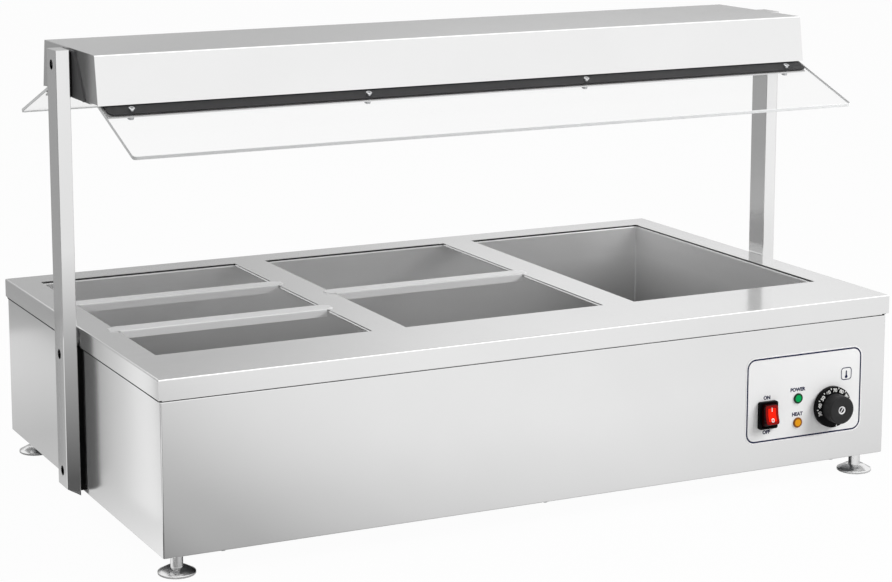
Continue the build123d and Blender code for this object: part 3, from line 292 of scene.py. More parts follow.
class Palette:
    """Every finish of the unit."""

    SHEET = Finish("brushed_sheet", "stainless", (0.86, 0.86, 0.86), 0.16, metallic=1.0, grain=Grain.ALONG_X)
    POST = Finish("brushed_post", "stainless", (0.86, 0.86, 0.86), 0.16, metallic=1.0, grain=Grain.ALONG_Z)
    DIVIDER = Finish(
        "satin_divider", "stainless", (0.95, 0.95, 0.95), 0.30, metallic=0.1, grain=Grain.ALONG_X, coat=1.0
    )
    # The hood ends are a darker copy of the stainless sheet: painted shade.
    END = Finish("shaded_hood_end_sheet", "stainless", (0.72, 0.72, 0.72), 0.20, metallic=1.0, grain=Grain.ALONG_Z)
    # The brackets' stainless is given a near-black, non-metallic colour: painted shade.
    SHADED_BRACKET = Finish("shaded_bracket_sheet", "stainless", (0.11, 0.11, 0.112), 0.45, grain=Grain.SATIN, ior=1.3)
    # The tank's colour is darkened towards the bottom of the wells: painted shade.
    TANK = Finish(
        "tank_sheet", "tank_steel", (0.92, 0.92, 0.92), 0.32, metallic=0.75, grain=Grain.SATIN,
        shade_height=220 * MM, shade_depth=95 * MM, shade_share=0.58,
    )
    PLATED = Finish("zinc_plate", "plated_steel", (0.60, 0.61, 0.62), 0.36, metallic=1.0, grain=Grain.SATIN)
    FOOT = Finish("turned_steel", "foot_steel", (0.84, 0.84, 0.84), 0.19, metallic=1.0)
    BOLT = Finish("bolt_zinc", "bolt_steel", (0.62, 0.63, 0.64), 0.24, metallic=1.0)
    CAP = Finish("bright_cap", "bright_cap", (0.86, 0.86, 0.87), 0.14, metallic=1.0)
    SHEATH = Finish(
        "heater_sheath", "heater_sheath", (0.25, 0.23, 0.21), 0.45, metallic=1.0, grain=Grain.SATIN
    )
    COPPER = Finish("copper_tube", "copper_capillary", (0.80, 0.42, 0.27), 0.30, metallic=1.0)
    RUBBER = Finish("black_rubber", "black_rubber", (0.005, 0.005, 0.005), 0.65, relief=0.15, ior=1.25)
    STRIP = Finish("dark_strip", "black_strip", (0.012, 0.012, 0.013), 0.45, relief=0.08, ior=1.35)
    BLACK = Finish("black_plastic", "black_plastic", (0.003, 0.003, 0.0035), 0.38, relief=0.12, ior=1.14)
    # The grip is a lighter copy of the knob's black plastic: painted light.
    GRIP = Finish("lit_black_grip", "black_plastic", (0.022, 0.022, 0.023), 0.45, relief=0.12, ior=1.3)
    SILICONE = Finish("clear_silicone", "black_rubber", (0.82, 0.82, 0.82), 0.45, relief=0.05)
    BARREL = Finish("lamp_barrel", "lamp_barrel_plastic", (0.75, 0.74, 0.70), 0.45)
    # The rocker's three reds are copies of one red plastic: the lens is brighter and glows, which is painted
    # light, and the rim and the near-black sides are painted shade.
    RED = Finish("red_lit_lens", "red_plastic", (0.90, 0.016, 0.004), 0.30, relief=0.02, ior=1.15, glow=0.15)
    RED_SHADED_RIM = Finish("red_rim", "red_plastic", (0.28, 0.004, 0.003), 0.30, relief=0.02, ior=1.2)
    RED_SHADED_SIDE = Finish("red_side", "red_plastic", (0.02, 0.001, 0.001), 0.30, relief=0.02, ior=1.2)
    # Each lamp's ring is a darker copy of its lens's own colour: painted shade.
    GREEN = Finish("green_lens", "green_lens", (0.003, 0.44, 0.11), 0.30, relief=0.02, ior=1.15)
    GREEN_SHADED_RING = Finish("green_ring", "green_lens", (0.002, 0.035, 0.012), 0.30, relief=0.02, ior=1.3)
    AMBER = Finish("amber_lens", "amber_lens", (0.95, 0.40, 0.014), 0.30, relief=0.02, ior=1.15)
    AMBER_SHADED_RING = Finish("amber_ring", "amber_lens", (0.30, 0.10, 0.006), 0.30, relief=0.02, ior=1.3)
    FILM = Finish("pale_film", "pale_film", (0.95, 0.95, 0.95), 0.38, relief=0.05, mottle=0.01)
    GLASS = Finish(
        "clear_glass", "clear_glass", (0.962, 0.962, 0.962), 0.012, grain=Grain.CLEAR, spread=0.012,
        relief=0.004, mottle=0.004, transmission=1.0, ior=1.08,
    )
    GROUND = Finish("ground_glass", "clear_glass", (0.88, 0.89, 0.89), 0.50, relief=0.02)
    CERAMIC = Finish("white_terminal", "white_terminal", (0.80, 0.78, 0.73), 0.5)
    NAVY = Finish("navy_ink", "pale_film", (0.006, 0.008, 0.05), 0.45, ior=1.2)
    WHITE = Finish("white_ink", "black_plastic", (0.86, 0.86, 0.84), 0.45)


def frame_at(origin: Sequence[float], x_axis: Sequence[float], y_axis: Sequence[float]) -> Matrix:
    """Makes a local frame.

    Args:
        origin: Where the frame sits.
        x_axis: Direction of its X.
        y_axis: Direction of its Y, square to X.

    Returns:
        The matrix that takes local points to the unit's frame.
    """
    across = Vector(x_axis).normalized()
    up = Vector(y_axis).normalized()
    turn = Matrix((across, up, across.cross(up))).transposed().to_4x4()
    return Matrix.Translation(origin) @ turn


def front_frame(x: float, y: float, z: float) -> Matrix:
    """Makes a frame on the front panel, with X to the right, Y up and Z towards the user.

    Args:
        x: Place across the panel.
        y: Depth of the frame's face.
        z: Height.

    Returns:
        The frame's matrix.
    """
    return frame_at((x, y, z), (1.0, 0.0, 0.0), (0.0, 0.0, 1.0))


def middle(node_name: str) -> Vector:
    """Gives the middle of a node's box.

    Args:
        node_name: Name of the node.

    Returns:
        The middle, in the unit's frame.
    """
    low, high = (Vector(corner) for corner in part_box(node_name))
    return (low + high) / 2


class Solid:
    """A mesh in the making, which then becomes one piece of the unit."""

    def __init__(self) -> None:
        """Starts with an empty mesh."""
        self.mesh = bmesh.new()

    def turned(self, outline: Sequence[Point], steps: int = TURN_STEPS) -> "Solid":
        """Spins an outline round the local Z axis.

        Args:
            outline: Radius and height of each point.
            steps: Steps of the full turn.

        Returns:
            This solid.
        """
        points = [self.mesh.verts.new((radius, 0.0, height)) for radius, height in outline]
        edges = [self.mesh.edges.new(pair) for pair in zip(points, points[1:])]
        bmesh.ops.spin(
            self.mesh, geom=points + edges, cent=(0.0, 0.0, 0.0), axis=(0.0, 0.0, 1.0), angle=math.tau,
            steps=steps, use_merge=True,
        )
        return self.welded()

    def plate(self, width: float, height: float, thickness: float, corner: float) -> "Solid":
        """Makes a flat plate with rounded corners that stands on z = 0.

        Args:
            width: Size along X.
            height: Size along Y.
            thickness: Size along Z.
            corner: Radius of the corners.

        Returns:
            This solid.
        """
        self._rounded_sheet(width, height, corner)
        return self._raised(thickness)

    def hoop(self, width: float, height: float, thickness: float, corner: float, line: float) -> "Solid":
        """Makes a flat rounded hoop that stands on z = 0.

        Args:
            width: Outer size along X.
            height: Outer size along Y.
            thickness: Size along Z.
            corner: Outer radius of the corners.
            line: Width of the hoop's band.

        Returns:
            This solid.
        """
        inner = self._rounded_sheet(width, height, corner)
        bmesh.ops.inset_region(
            self.mesh, faces=[inner], thickness=line, use_even_offset=True, use_boundary=True
        )
        bmesh.ops.delete(self.mesh, geom=[inner], context="FACES")
        return self._raised(thickness)

    def prism(self, outline: Sequence[Point], length: float) -> "Solid":
        """Extrudes an outline in the XY plane along Z, half of it to either side.

        Args:
            outline: X and Y of each corner.
            length: Length of the prism.

        Returns:
            This solid.
        """
        self.mesh.faces.new([self.mesh.verts.new((x, y, -length / 2)) for x, y in outline])
        return self._raised(length)

    def lettered(self, words: str, height: float, thickness: float, weight: float) -> "Solid":
        """Makes raised lettering, centred on the local origin.

        Args:
            words: What it says.
            height: Height of a capital.
            thickness: How far it stands up from z = 0.
            weight: How far the strokes are widened, as a share of the letter size.

        Returns:
            This solid.
        """
        curve = bpy.data.curves.new(words, "FONT")
        curve.body = words
        curve.align_x = "CENTER"
        curve.offset = weight
        curve.extrude = UNIT_HALF
        holder = bpy.data.objects.new(words, curve)
        bpy.context.scene.collection.objects.link(holder)
        bpy.context.view_layer.update()
        shape = bpy.data.meshes.new_from_object(holder.evaluated_get(bpy.context.evaluated_depsgraph_get()))
        bpy.data.objects.remove(holder)
        bpy.data.curves.remove(curve)
        self.mesh.from_mesh(shape)
        bpy.data.meshes.remove(shape)
        top = max(vertex.co.y for vertex in self.mesh.verts)
        low = min(vertex.co.y for vertex in self.mesh.verts)
        scale = height / (top - low)
        bmesh.ops.translate(self.mesh, vec=(0.0, -(top + low) / 2, UNIT_HALF), verts=self.mesh.verts)
        bmesh.ops.scale(self.mesh, vec=(scale, scale, thickness), verts=self.mesh.verts)
        return self.welded()

    def socketed(self, outline: Sequence[Point], socket: float, depth: float) -> "Solid":
        """Turns a screw head whose outline ends at an open mouth, and sinks a hexagon into the mouth.

        Args:
            outline: Radius and height of each point, from the foot of the head to the mouth's rim.
            socket: Radius of the hexagon's corners.
            depth: Depth of the hexagon.

        Returns:
            This solid.
        """
        self.turned(outline, HEAD_STEPS)
        top = outline[-1][1]
        level = top - LEVEL_DISTANCE
        rim = [edge for edge in self.mesh.edges if edge.is_boundary and edge.verts[0].co.z > level]
        made = bmesh.ops.create_circle(
            self.mesh, cap_ends=False, segments=6, radius=socket, matrix=Matrix.Translation((0.0, 0.0, top))
        )
        key = list({edge for vertex in made["verts"] for edge in vertex.link_edges})
        bmesh.ops.bridge_loops(self.mesh, edges=rim + key)
        sunk = bmesh.ops.extrude_edge_only(self.mesh, edges=key)["geom"]
        floor = [item for item in sunk if isinstance(item, bmesh.types.BMVert)]
        bmesh.ops.translate(self.mesh, vec=(0.0, 0.0, -depth), verts=floor)
        bmesh.ops.contextual_create(
            self.mesh, geom=[item for item in sunk if isinstance(item, bmesh.types.BMEdge)]
        )
        return self.welded()

    def rounded_along(self, direction: Vector, radius: float) -> "Solid":
        """Rounds the edges that run along a direction.

        Args:
            direction: The edges' direction, either way round.
            radius: Radius of the rounding.

        Returns:
            This solid.
        """
        along = direction.normalized()
        picked = [
            edge
            for edge in self.mesh.edges
            if abs((edge.verts[1].co - edge.verts[0].co).normalized().dot(along)) > FULL_SHARE
        ]
        return self._rounded(picked, radius, EDGE_STEPS)

    def softened(self, radius: float, segments: int = 3) -> "Solid":
        """Rounds every sharp edge.

        Args:
            radius: Width of the rounding.
            segments: Facets across it.

        Returns:
            This solid.
        """
        sharp = [
            edge for edge in self.mesh.edges if edge.is_manifold and edge.calc_face_angle() > SHARP_ANGLE
        ]
        return self._rounded(sharp, radius, segments)

    def placed(self, matrix: Matrix) -> "Solid":
        """Moves the solid into a frame.

        Args:
            matrix: The frame.

        Returns:
            This solid.
        """
        bmesh.ops.transform(self.mesh, matrix=matrix, verts=self.mesh.verts)
        return self

    def joined(self, other: "Solid") -> "Solid":
        """Takes another solid in, as it stands.

        Args:
            other: The solid to take in, which is used up.

        Returns:
            This solid.
        """
        shape = bpy.data.meshes.new("part")
        other.mesh.to_mesh(shape)
        other.mesh.free()
        self.mesh.from_mesh(shape)
        bpy.data.meshes.remove(shape)
        return self

    def welded(self) -> "Solid":
        """Merges doubles and turns every face outwards.

        Returns:
            This solid.
        """
        bmesh.ops.remove_doubles(self.mesh, verts=self.mesh.verts, dist=WELD_DISTANCE)
        bmesh.ops.recalc_face_normals(self.mesh, faces=self.mesh.faces)
        return self

    def edged(self) -> "Solid":
        """Marks every face that doesn't lie flat for the piece's second finish.

        Returns:
            This solid.
        """
        for face in self.mesh.faces:
            face.material_index = int(abs(face.normal.z) < FLAT_SHARE)
        return self

    def capped(self, height: float) -> "Solid":
        """Marks every face whose middle lies above a height for the piece's second finish.

        Args:
            height: The height.

        Returns:
            This solid.
        """
        for face in self.mesh.faces:
            face.material_index = int(face.calc_center_median().z > height)
        return self

    def published(
        self, name: str, finish: Finish, body: Body, replaced: Sequence[str] = (), edges: Finish | None = None
    ) -> None:
        """Turns the solid into a piece of the scene.

        Args:
            name: Name of the piece.
            finish: Its finish.
            body: Body that it rides on.
            replaced: Nodes of the frame that it stands for.
            edges: Finish of the faces that edged() or capped() has marked.
        """
        shape = bpy.data.meshes.new(name)
        for face in self.mesh.faces:
            face.smooth = True
        self.mesh.to_mesh(shape)
        self.mesh.free()
        shape.set_sharp_from_angle(angle=SHARP_ANGLE)
        shape.materials.append(finish.material())
        if edges:
            shape.materials.append(edges.material())
        piece = bpy.data.objects.new(name, shape)
        bpy.context.scene.collection.objects.link(piece)
        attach(piece, body.value)
        if replaced:
            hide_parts(*replaced)
        log.info("built %s in %s on %s", name, finish.name, body.value)

    def _rounded(self, edges: Sequence[bmesh.types.BMEdge], radius: float, segments: int) -> "Solid":
        """Rounds some edges.

        Args:
            edges: The edges.
            radius: Width of the rounding.
            segments: Facets across it.

        Returns:
            This solid.
        """
        bmesh.ops.bevel(
            self.mesh, geom=edges, offset=radius, segments=segments, profile=0.5, affect="EDGES",
            clamp_overlap=True, material=-1,
        )
        return self.welded()

    def _rounded_sheet(self, width: float, height: float, corner: float) -> bmesh.types.BMFace:
        """Makes a rounded rectangle at z = 0.

        Args:
            width: Size along X.
            height: Size along Y.
            corner: Radius of the corners.

        Returns:
            Its face.
        """
        points = bmesh.ops.create_grid(self.mesh, x_segments=1, y_segments=1, size=UNIT_HALF)["verts"]
        bmesh.ops.scale(self.mesh, vec=(width, height, 1.0), verts=points)
        bmesh.ops.bevel(
            self.mesh, geom=points, offset=corner, segments=CORNER_STEPS, profile=0.5, affect="VERTICES",
            clamp_overlap=True, material=-1,
        )
        return self.mesh.faces[:][0]

    def _raised(self, thickness: float) -> "Solid":
        """Raises every face into a closed solid.

        Args:
            thickness: How far along Z.

        Returns:
            This solid.
        """
        raised = bmesh.ops.extrude_face_region(self.mesh, geom=self.mesh.faces[:], use_keep_orig=True)["geom"]
        points = [item for item in raised if isinstance(item, bmesh.types.BMVert)]
        bmesh.ops.translate(self.mesh, vec=(0.0, 0.0, thickness), verts=points)
        return self.welded()


@dataclass(frozen=True)
class LevelFoot:
    """A turned levelling foot.

    Attributes:
        body: Body of the foot, whose node has the same name.
        pad_radius: Radius of the pad.
        face_radius: Radius of the face on the floor.
        pad_edge: Height of the small cone at the pad's foot.
        pad_rim: Height of the pad's straight rim.
        pad_height: Height of the top of the pad's cone.
        neck_radius: Radius of the top of the cone.
        shank_radius: Radius of the shank.
        shank_top: Height of the shoulder against the base.
        thread_radius: Radius of the thread.
        edge: Rounding of the edges.
    """

    body: Body
    pad_radius: float = 25.0 * MM
    face_radius: float = 24.0 * MM
    pad_edge: float = 1.0 * MM
    pad_rim: float = 3.5 * MM
    pad_height: float = 9.5 * MM
    neck_radius: float = 14.0 * MM
    shank_radius: float = 8.3 * MM
    shank_top: float = 31.7 * MM
    thread_radius: float = 5.0 * MM
    edge: float = 0.5 * MM

    def build(self) -> None:
        """Builds the foot."""
        centre = middle(self.body.value)
        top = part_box(self.body.value)[1][2]
        outline = (
            (0.0, 0.0),
            (self.face_radius, 0.0),
            (self.pad_radius, self.pad_edge),
            (self.pad_radius, self.pad_rim),
            (self.neck_radius, self.pad_height),
            (self.shank_radius, self.pad_height),
            (self.shank_radius, self.shank_top),
            (self.thread_radius, self.shank_top),
            (self.thread_radius, top),
            (0.0, top),
        )
        foot = Solid().turned(outline).softened(self.edge)
        foot.placed(Matrix.Translation((centre.x, centre.y, 0.0)))
        foot.published(f"turned_{self.body.value}", Palette.FOOT, self.body, (self.body.value,))


@dataclass(frozen=True)
class Knob:
    """The thermostat's knob with its printed dial and bright cap.

    Attributes:
        skirt_radius: Radius of the dial skirt.
        skirt_rim: Height of the skirt's straight edge.
        dial_rise: Height of the inner edge of the dial.
        base_radius: Radius of the grip at the dial.
        front_radius: Radius of the grip at its face.
        height: Height of the grip.
        edge: Rounding of the edges.
        face_edge: Rounding of the grip's face.
        face_angles: Degrees of the points along that rounding.
        recess_radius: Radius of the recess in the face.
        recess_depth: Depth of the recess.
        cap_radius: Radius of the bright cap.
        cap_hole: Radius of the cap's dark eye.
        cap_height: Height of the cap in the recess.
        bar_width: Width of the bright bar across the eye.
        bar_angle: Degrees that the bar leans to the left.
        first_mark: Degrees of the first number, counter-clockwise from the right.
        mark_step: Degrees from one number to the next, clockwise.
        numbers: Numbers on the dial.
        off_mark: Degrees of the off mark.
        digit_height: Height of the digits.
        digit_weight: How far their strokes are widened, as a share of their size.
        tick_length: Length of the ticks.
        line: Width of the ticks.
        print_height: How far the print stands up.
    """

    skirt_radius: float = 30.0 * MM
    skirt_rim: float = 8.0 * MM
    dial_rise: float = 9.0 * MM
    base_radius: float = 20.5 * MM
    front_radius: float = 20.5 * MM
    height: float = 28.0 * MM
    edge: float = 0.5 * MM
    face_edge: float = 2.0 * MM
    face_angles: tuple[int, ...] = (0, 15, 30, 45, 60, 75, 90)
    recess_radius: float = 7.05 * MM
    recess_depth: float = 1.6 * MM
    cap_radius: float = 6.0 * MM
    cap_hole: float = 3.9 * MM
    cap_height: float = 1.2 * MM
    bar_width: float = 1.6 * MM
    bar_angle: float = -35.0
    first_mark: float = 196.0
    mark_step: float = 27.0
    numbers: tuple[int, ...] = (30, 40, 50, 60, 70, 80, 90)
    off_mark: float = 280.0
    digit_height: float = 5.5 * MM
    digit_weight: float = 0.035
    tick_length: float = 2.6 * MM
    line: float = 1.4 * MM
    print_height: float = 0.25 * MM

    def build(self) -> None:
        """Builds the grip, the cap and the print."""
        centre = middle("knob")
        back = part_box("knob")[1][1]
        place = front_frame(centre.x, back, centre.z)
        # The faces above the dial get the lighter grip finish: painted light.
        grip = Solid().turned(self._grip_outline()).softened(self.edge).capped(self.dial_rise + self.edge)
        grip.placed(place).published("knob_grip", Palette.BLACK, Body.KNOB, ("knob",), Palette.GRIP)
        cap = Solid().turned(self._cap_outline()).softened(self.edge / 2)
        bar = Solid().plate(self.bar_width, 2 * self.cap_hole, self.cap_height / 2, self.bar_width / 4)
        lean = Matrix.Rotation(math.radians(self.bar_angle), 4, "Z")
        cap.joined(bar.placed(Matrix.Translation((0.0, 0.0, self.height - self.recess_depth)) @ lean))
        cap.placed(place).published("knob_bright_cap", Palette.CAP, Body.KNOB, ("knob_cap",))
        self._printed_dial().placed(place).published("knob_dial_print", Palette.WHITE, Body.KNOB)

    def _grip_outline(self) -> list[Point]:
        """Draws half of the knob's section.

        Returns:
            Radius and height of each point.
        """
        floor = self.height - self.recess_depth
        shoulder = [
            (
                self.front_radius - self.face_edge * (1.0 - math.cos(math.radians(angle))),
                self.height - self.face_edge * (1.0 - math.sin(math.radians(angle))),
            )
            for angle in self.face_angles
        ]
        return [
            (0.0, 0.0),
            (self.skirt_radius, 0.0),
            (self.skirt_radius, self.skirt_rim),
            (self.base_radius, self.dial_rise),
            *shoulder,
            (self.recess_radius, self.height),
            (self.recess_radius, floor),
            (0.0, floor),
        ]

    def _cap_outline(self) -> list[Point]:
        """Draws half of the section of the dished cap.

        Returns:
            Radius and height of each point.
        """
        floor = self.height - self.recess_depth
        lip = (self.cap_radius + self.cap_hole) / 2
        return [
            (self.cap_hole, floor),
            (self.cap_radius, floor),
            (self.cap_radius, floor + self.cap_height),
            (lip, floor + self.cap_height),
            (self.cap_hole, floor + self.cap_height / 2),
            (self.cap_hole, floor),
        ]

    def _on_dial(self, angle: float, radius: float) -> Matrix:
        """Makes a frame on the sloping dial, with Y away from the axis.

        Args:
            angle: Degrees, counter-clockwise from the right.
            radius: Distance from the axis.

        Returns:
            The frame's matrix in the knob's own frame.
        """
        out = Vector((math.cos(math.radians(angle)), math.sin(math.radians(angle)), 0.0))
        run = self.skirt_radius - self.base_radius
        rise = self.dial_rise - self.skirt_rim
        height = self.skirt_rim + rise * (self.skirt_radius - radius) / run
        outwards = out * run - Vector((0.0, 0.0, rise))
        across = Vector((out.y, -out.x, 0.0))
        return frame_at(out * radius + Vector((0.0, 0.0, height - self.print_height / 2)), across, outwards)

    def _printed_dial(self) -> Solid:
        """Prints the numbers, the ticks between them and the off mark.

        Returns:
            All the print as one solid.
        """
        dial = Solid()
        number_radius = (self.skirt_radius + self.base_radius) / 2
        tick_radius = self.skirt_radius - self.tick_length / 2 - self.edge
        for index, number in enumerate(self.numbers):
            angle = self.first_mark - index * self.mark_step
            digits = Solid().lettered(
                str(number), self.digit_height, self.print_height, self.digit_weight
            )
            dial.joined(digits.placed(self._on_dial(angle, number_radius)))
            self._tick(dial, angle - self.mark_step / 2, tick_radius)
        self._tick(dial, self.off_mark, tick_radius)
        return dial

    def _tick(self, dial: Solid, angle: float, radius: float) -> None:
        """Adds a tick to the dial.

        Args:
            dial: The print so far.
            angle: Degrees, counter-clockwise from the right.
            radius: Distance of the tick's middle from the axis.
        """
        tick = Solid().plate(self.line, self.tick_length, self.print_height, self.line / 4)
        dial.joined(tick.placed(self._on_dial(angle, radius)))


@dataclass(frozen=True)
class RockerSwitch:
    """The rocker of the mains switch, all of one red plastic: a near-black body and a dark red rim, which are
    painted shade, a bright red lens on its face that glows as painted light, and I and O.

    Attributes:
        width: Width of the rocker.
        radius: Half its height at the pivot.
        reach: How far its ends stand out from the pivot.
        dip: How far its middle is lower than its ends.
        keel: How far it goes in behind the pivot.
        tilt: Degrees that it leans at rest.
        edge: Rounding of its edges.
        corner: Rounding of the corners of its face.
        rim: Distance of the rim, a darker red that is painted shade, from the edge of the face.
        border: Distance of the lens, a brighter red that glows as painted light, from the edge of the face.
        lens_corner: Rounding of the corners of the lens.
        cover: How far the rim stands up, and the lens from the rim.
        mark_height: Height of the marks.
        mark_share: Where a mark sits, as a share of the way from the valley to the end.
        off_width: Width of the O.
        off_corner: Radius of its corners.
        line: Width of the marks' strokes.
        print_height: How far the marks stand up.
    """

    width: float = 22.0 * MM
    radius: float = 17.0 * MM
    reach: float = 15.3 * MM
    dip: float = 1.5 * MM
    keel: float = 8.0 * MM
    tilt: float = 11.0
    edge: float = 1.2 * MM
    corner: float = 4.0 * MM
    rim: float = 0.4 * MM
    border: float = 4.4 * MM
    lens_corner: float = 1.5 * MM
    cover: float = 0.2 * MM
    mark_height: float = 6.0 * MM
    mark_share: float = 0.55
    off_width: float = 4.8 * MM
    off_corner: float = 2.34 * MM
    line: float = 1.3 * MM
    print_height: float = 0.2 * MM

    def build(self) -> None:
        """Builds the rocker, its rim, its lens and its marks."""
        lean = math.radians(self.tilt)
        centre = middle("switch_rocker")
        pivot = Vector((centre.x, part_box("control_overlay")[1][1], middle("switch_housing").z))
        rest = frame_at(pivot, (0.0, math.sin(lean), math.cos(lean)), (0.0, -math.cos(lean), math.sin(lean)))
        end = self.radius - self.reach * math.tan(lean)
        body = Solid().prism(self._section(end), self.width)
        body.rounded_along(Vector((end - self.radius, self.reach, 0.0)), self.corner)
        body.rounded_along(Vector((self.radius - end, self.reach, 0.0)), self.corner)
        body.softened(self.edge).placed(rest)
        # The body shows only at its sides, which are near black: painted shade on the red plastic.
        body.published("rocker_body", Palette.RED_SHADED_SIDE, Body.ROCKER, ("switch_rocker",))
        for name, finish, border, corner, height in (
            ("rocker_rim", Palette.RED_SHADED_RIM, self.rim, self.corner, self.cover),
            ("rocker_lens", Palette.RED, self.border, self.lens_corner, 2 * self.cover),
        ):
            layer = Solid().prism(self._cover_section(end, border, height), self.width - 2 * border)
            layer.rounded_along(Vector((0.0, 1.0, 0.0)), corner)
            layer.placed(rest).published(name, finish, Body.ROCKER)
        self._marks(end).placed(rest).published("rocker_marks", Palette.WHITE, Body.ROCKER)

    def _section(self, end: float) -> list[Point]:
        """Draws the rocker's section across its pivot.

        Args:
            end: Half the length of its face.

        Returns:
            X and Y of each corner.
        """
        keel_half = math.sqrt(self.radius**2 - self.keel**2)
        return [
            (self.radius, 0.0),
            (end, self.reach),
            (0.0, self.reach - self.dip),
            (-end, self.reach),
            (-self.radius, 0.0),
            (-keel_half, -self.keel),
            (keel_half, -self.keel),
        ]

    def _cover_section(self, end: float, border: float, height: float) -> list[Point]:
        """Draws the section of a thin layer on the dipped face.

        Args:
            end: Half the length of the face.
            border: Distance of the layer from the edge of the face.
            height: How far it stands up.

        Returns:
            X and Y of each corner.
        """
        share = 1.0 - border / end
        outer = self.reach - self.dip * (1.0 - share)
        valley = self.reach - self.dip
        return [
            (share * end, outer - height),
            (share * end, outer + height),
            (0.0, valley + height),
            (-share * end, outer + height),
            (-share * end, outer - height),
            (0.0, valley - height),
        ]

    def _marks(self, end: float) -> Solid:
        """Draws I on the upper half of the face and O on the lower half.

        Args:
            end: Half the length of the face.

        Returns:
            Both marks as one solid.
        """
        marks = Solid()
        on_mark = Solid().plate(self.line, self.mark_height, self.print_height, self.line / 4)
        off_mark = Solid().hoop(
            self.off_width, self.mark_height, self.print_height, self.off_corner, self.line
        )
        height = self.reach - self.dip * (1.0 - self.mark_share)
        for side, mark in ((1.0, on_mark), (-1.0, off_mark)):
            facet = Vector((end, side * self.dip, 0.0)).normalized()
            normal = Vector((-facet.y, facet.x, 0.0))
            spot = Vector((side * end * self.mark_share, height, 0.0)) + normal * 2 * self.cover
            marks.joined(mark.placed(frame_at(spot, (0.0, 0.0, 1.0), facet)))
        return marks


@dataclass(frozen=True)
class PilotLamp:
    """A pilot lamp: a ring round a domed face, both of the lens's plastic, the ring darker as painted shade.

    Attributes:
        node: Node of the lens.
        face: Finish of the face.
        ring: Finish of the ring, a darker copy of the face's colour that is painted shade.
        radius: Outer radius.
        height: Height of the ring.
        edge: Cone at the ring's outer edge.
        face_radius: Radius of the sunk face.
        face_drop: Depth of the sunk face.
        crown: How far the face is domed.
        dome_shares: Where the dome has points, as shares of the face's radius.
        softness: Rounding of the edges.
    """

    node: str
    face: Finish
    ring: Finish
    radius: float = 7.5 * MM
    height: float = 2.0 * MM
    edge: float = 0.8 * MM
    face_radius: float = 5.2 * MM
    face_drop: float = 0.5 * MM
    crown: float = 0.4 * MM
    dome_shares: tuple[float, ...] = (1.0, 0.9, 0.7, 0.5, 0.3, 0.0)
    softness: float = 0.2 * MM

    def build(self) -> None:
        """Builds the ring and the face."""
        centre = middle(self.node)
        place = front_frame(centre.x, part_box(self.node)[1][1], centre.z)
        floor = self.height - self.face_drop
        ring_outline = (
            (self.face_radius, 0.0),
            (self.radius, 0.0),
            (self.radius, self.height - self.edge),
            (self.radius - self.edge, self.height),
            (self.face_radius, self.height),
            (self.face_radius, 0.0),
        )
        dome = [
            (self.face_radius * share, floor + self.crown * (1.0 - share**2))
            for share in self.dome_shares
        ]
        ring = Solid().turned(ring_outline).softened(self.softness)
        ring.placed(place).published(f"{self.node}_ring", self.ring, Body.UNIT, (self.node,))
        face = Solid().turned([(0.0, 0.0), (self.face_radius, 0.0), *dome])
        face.placed(place).published(f"{self.node}_face", self.face, Body.UNIT)


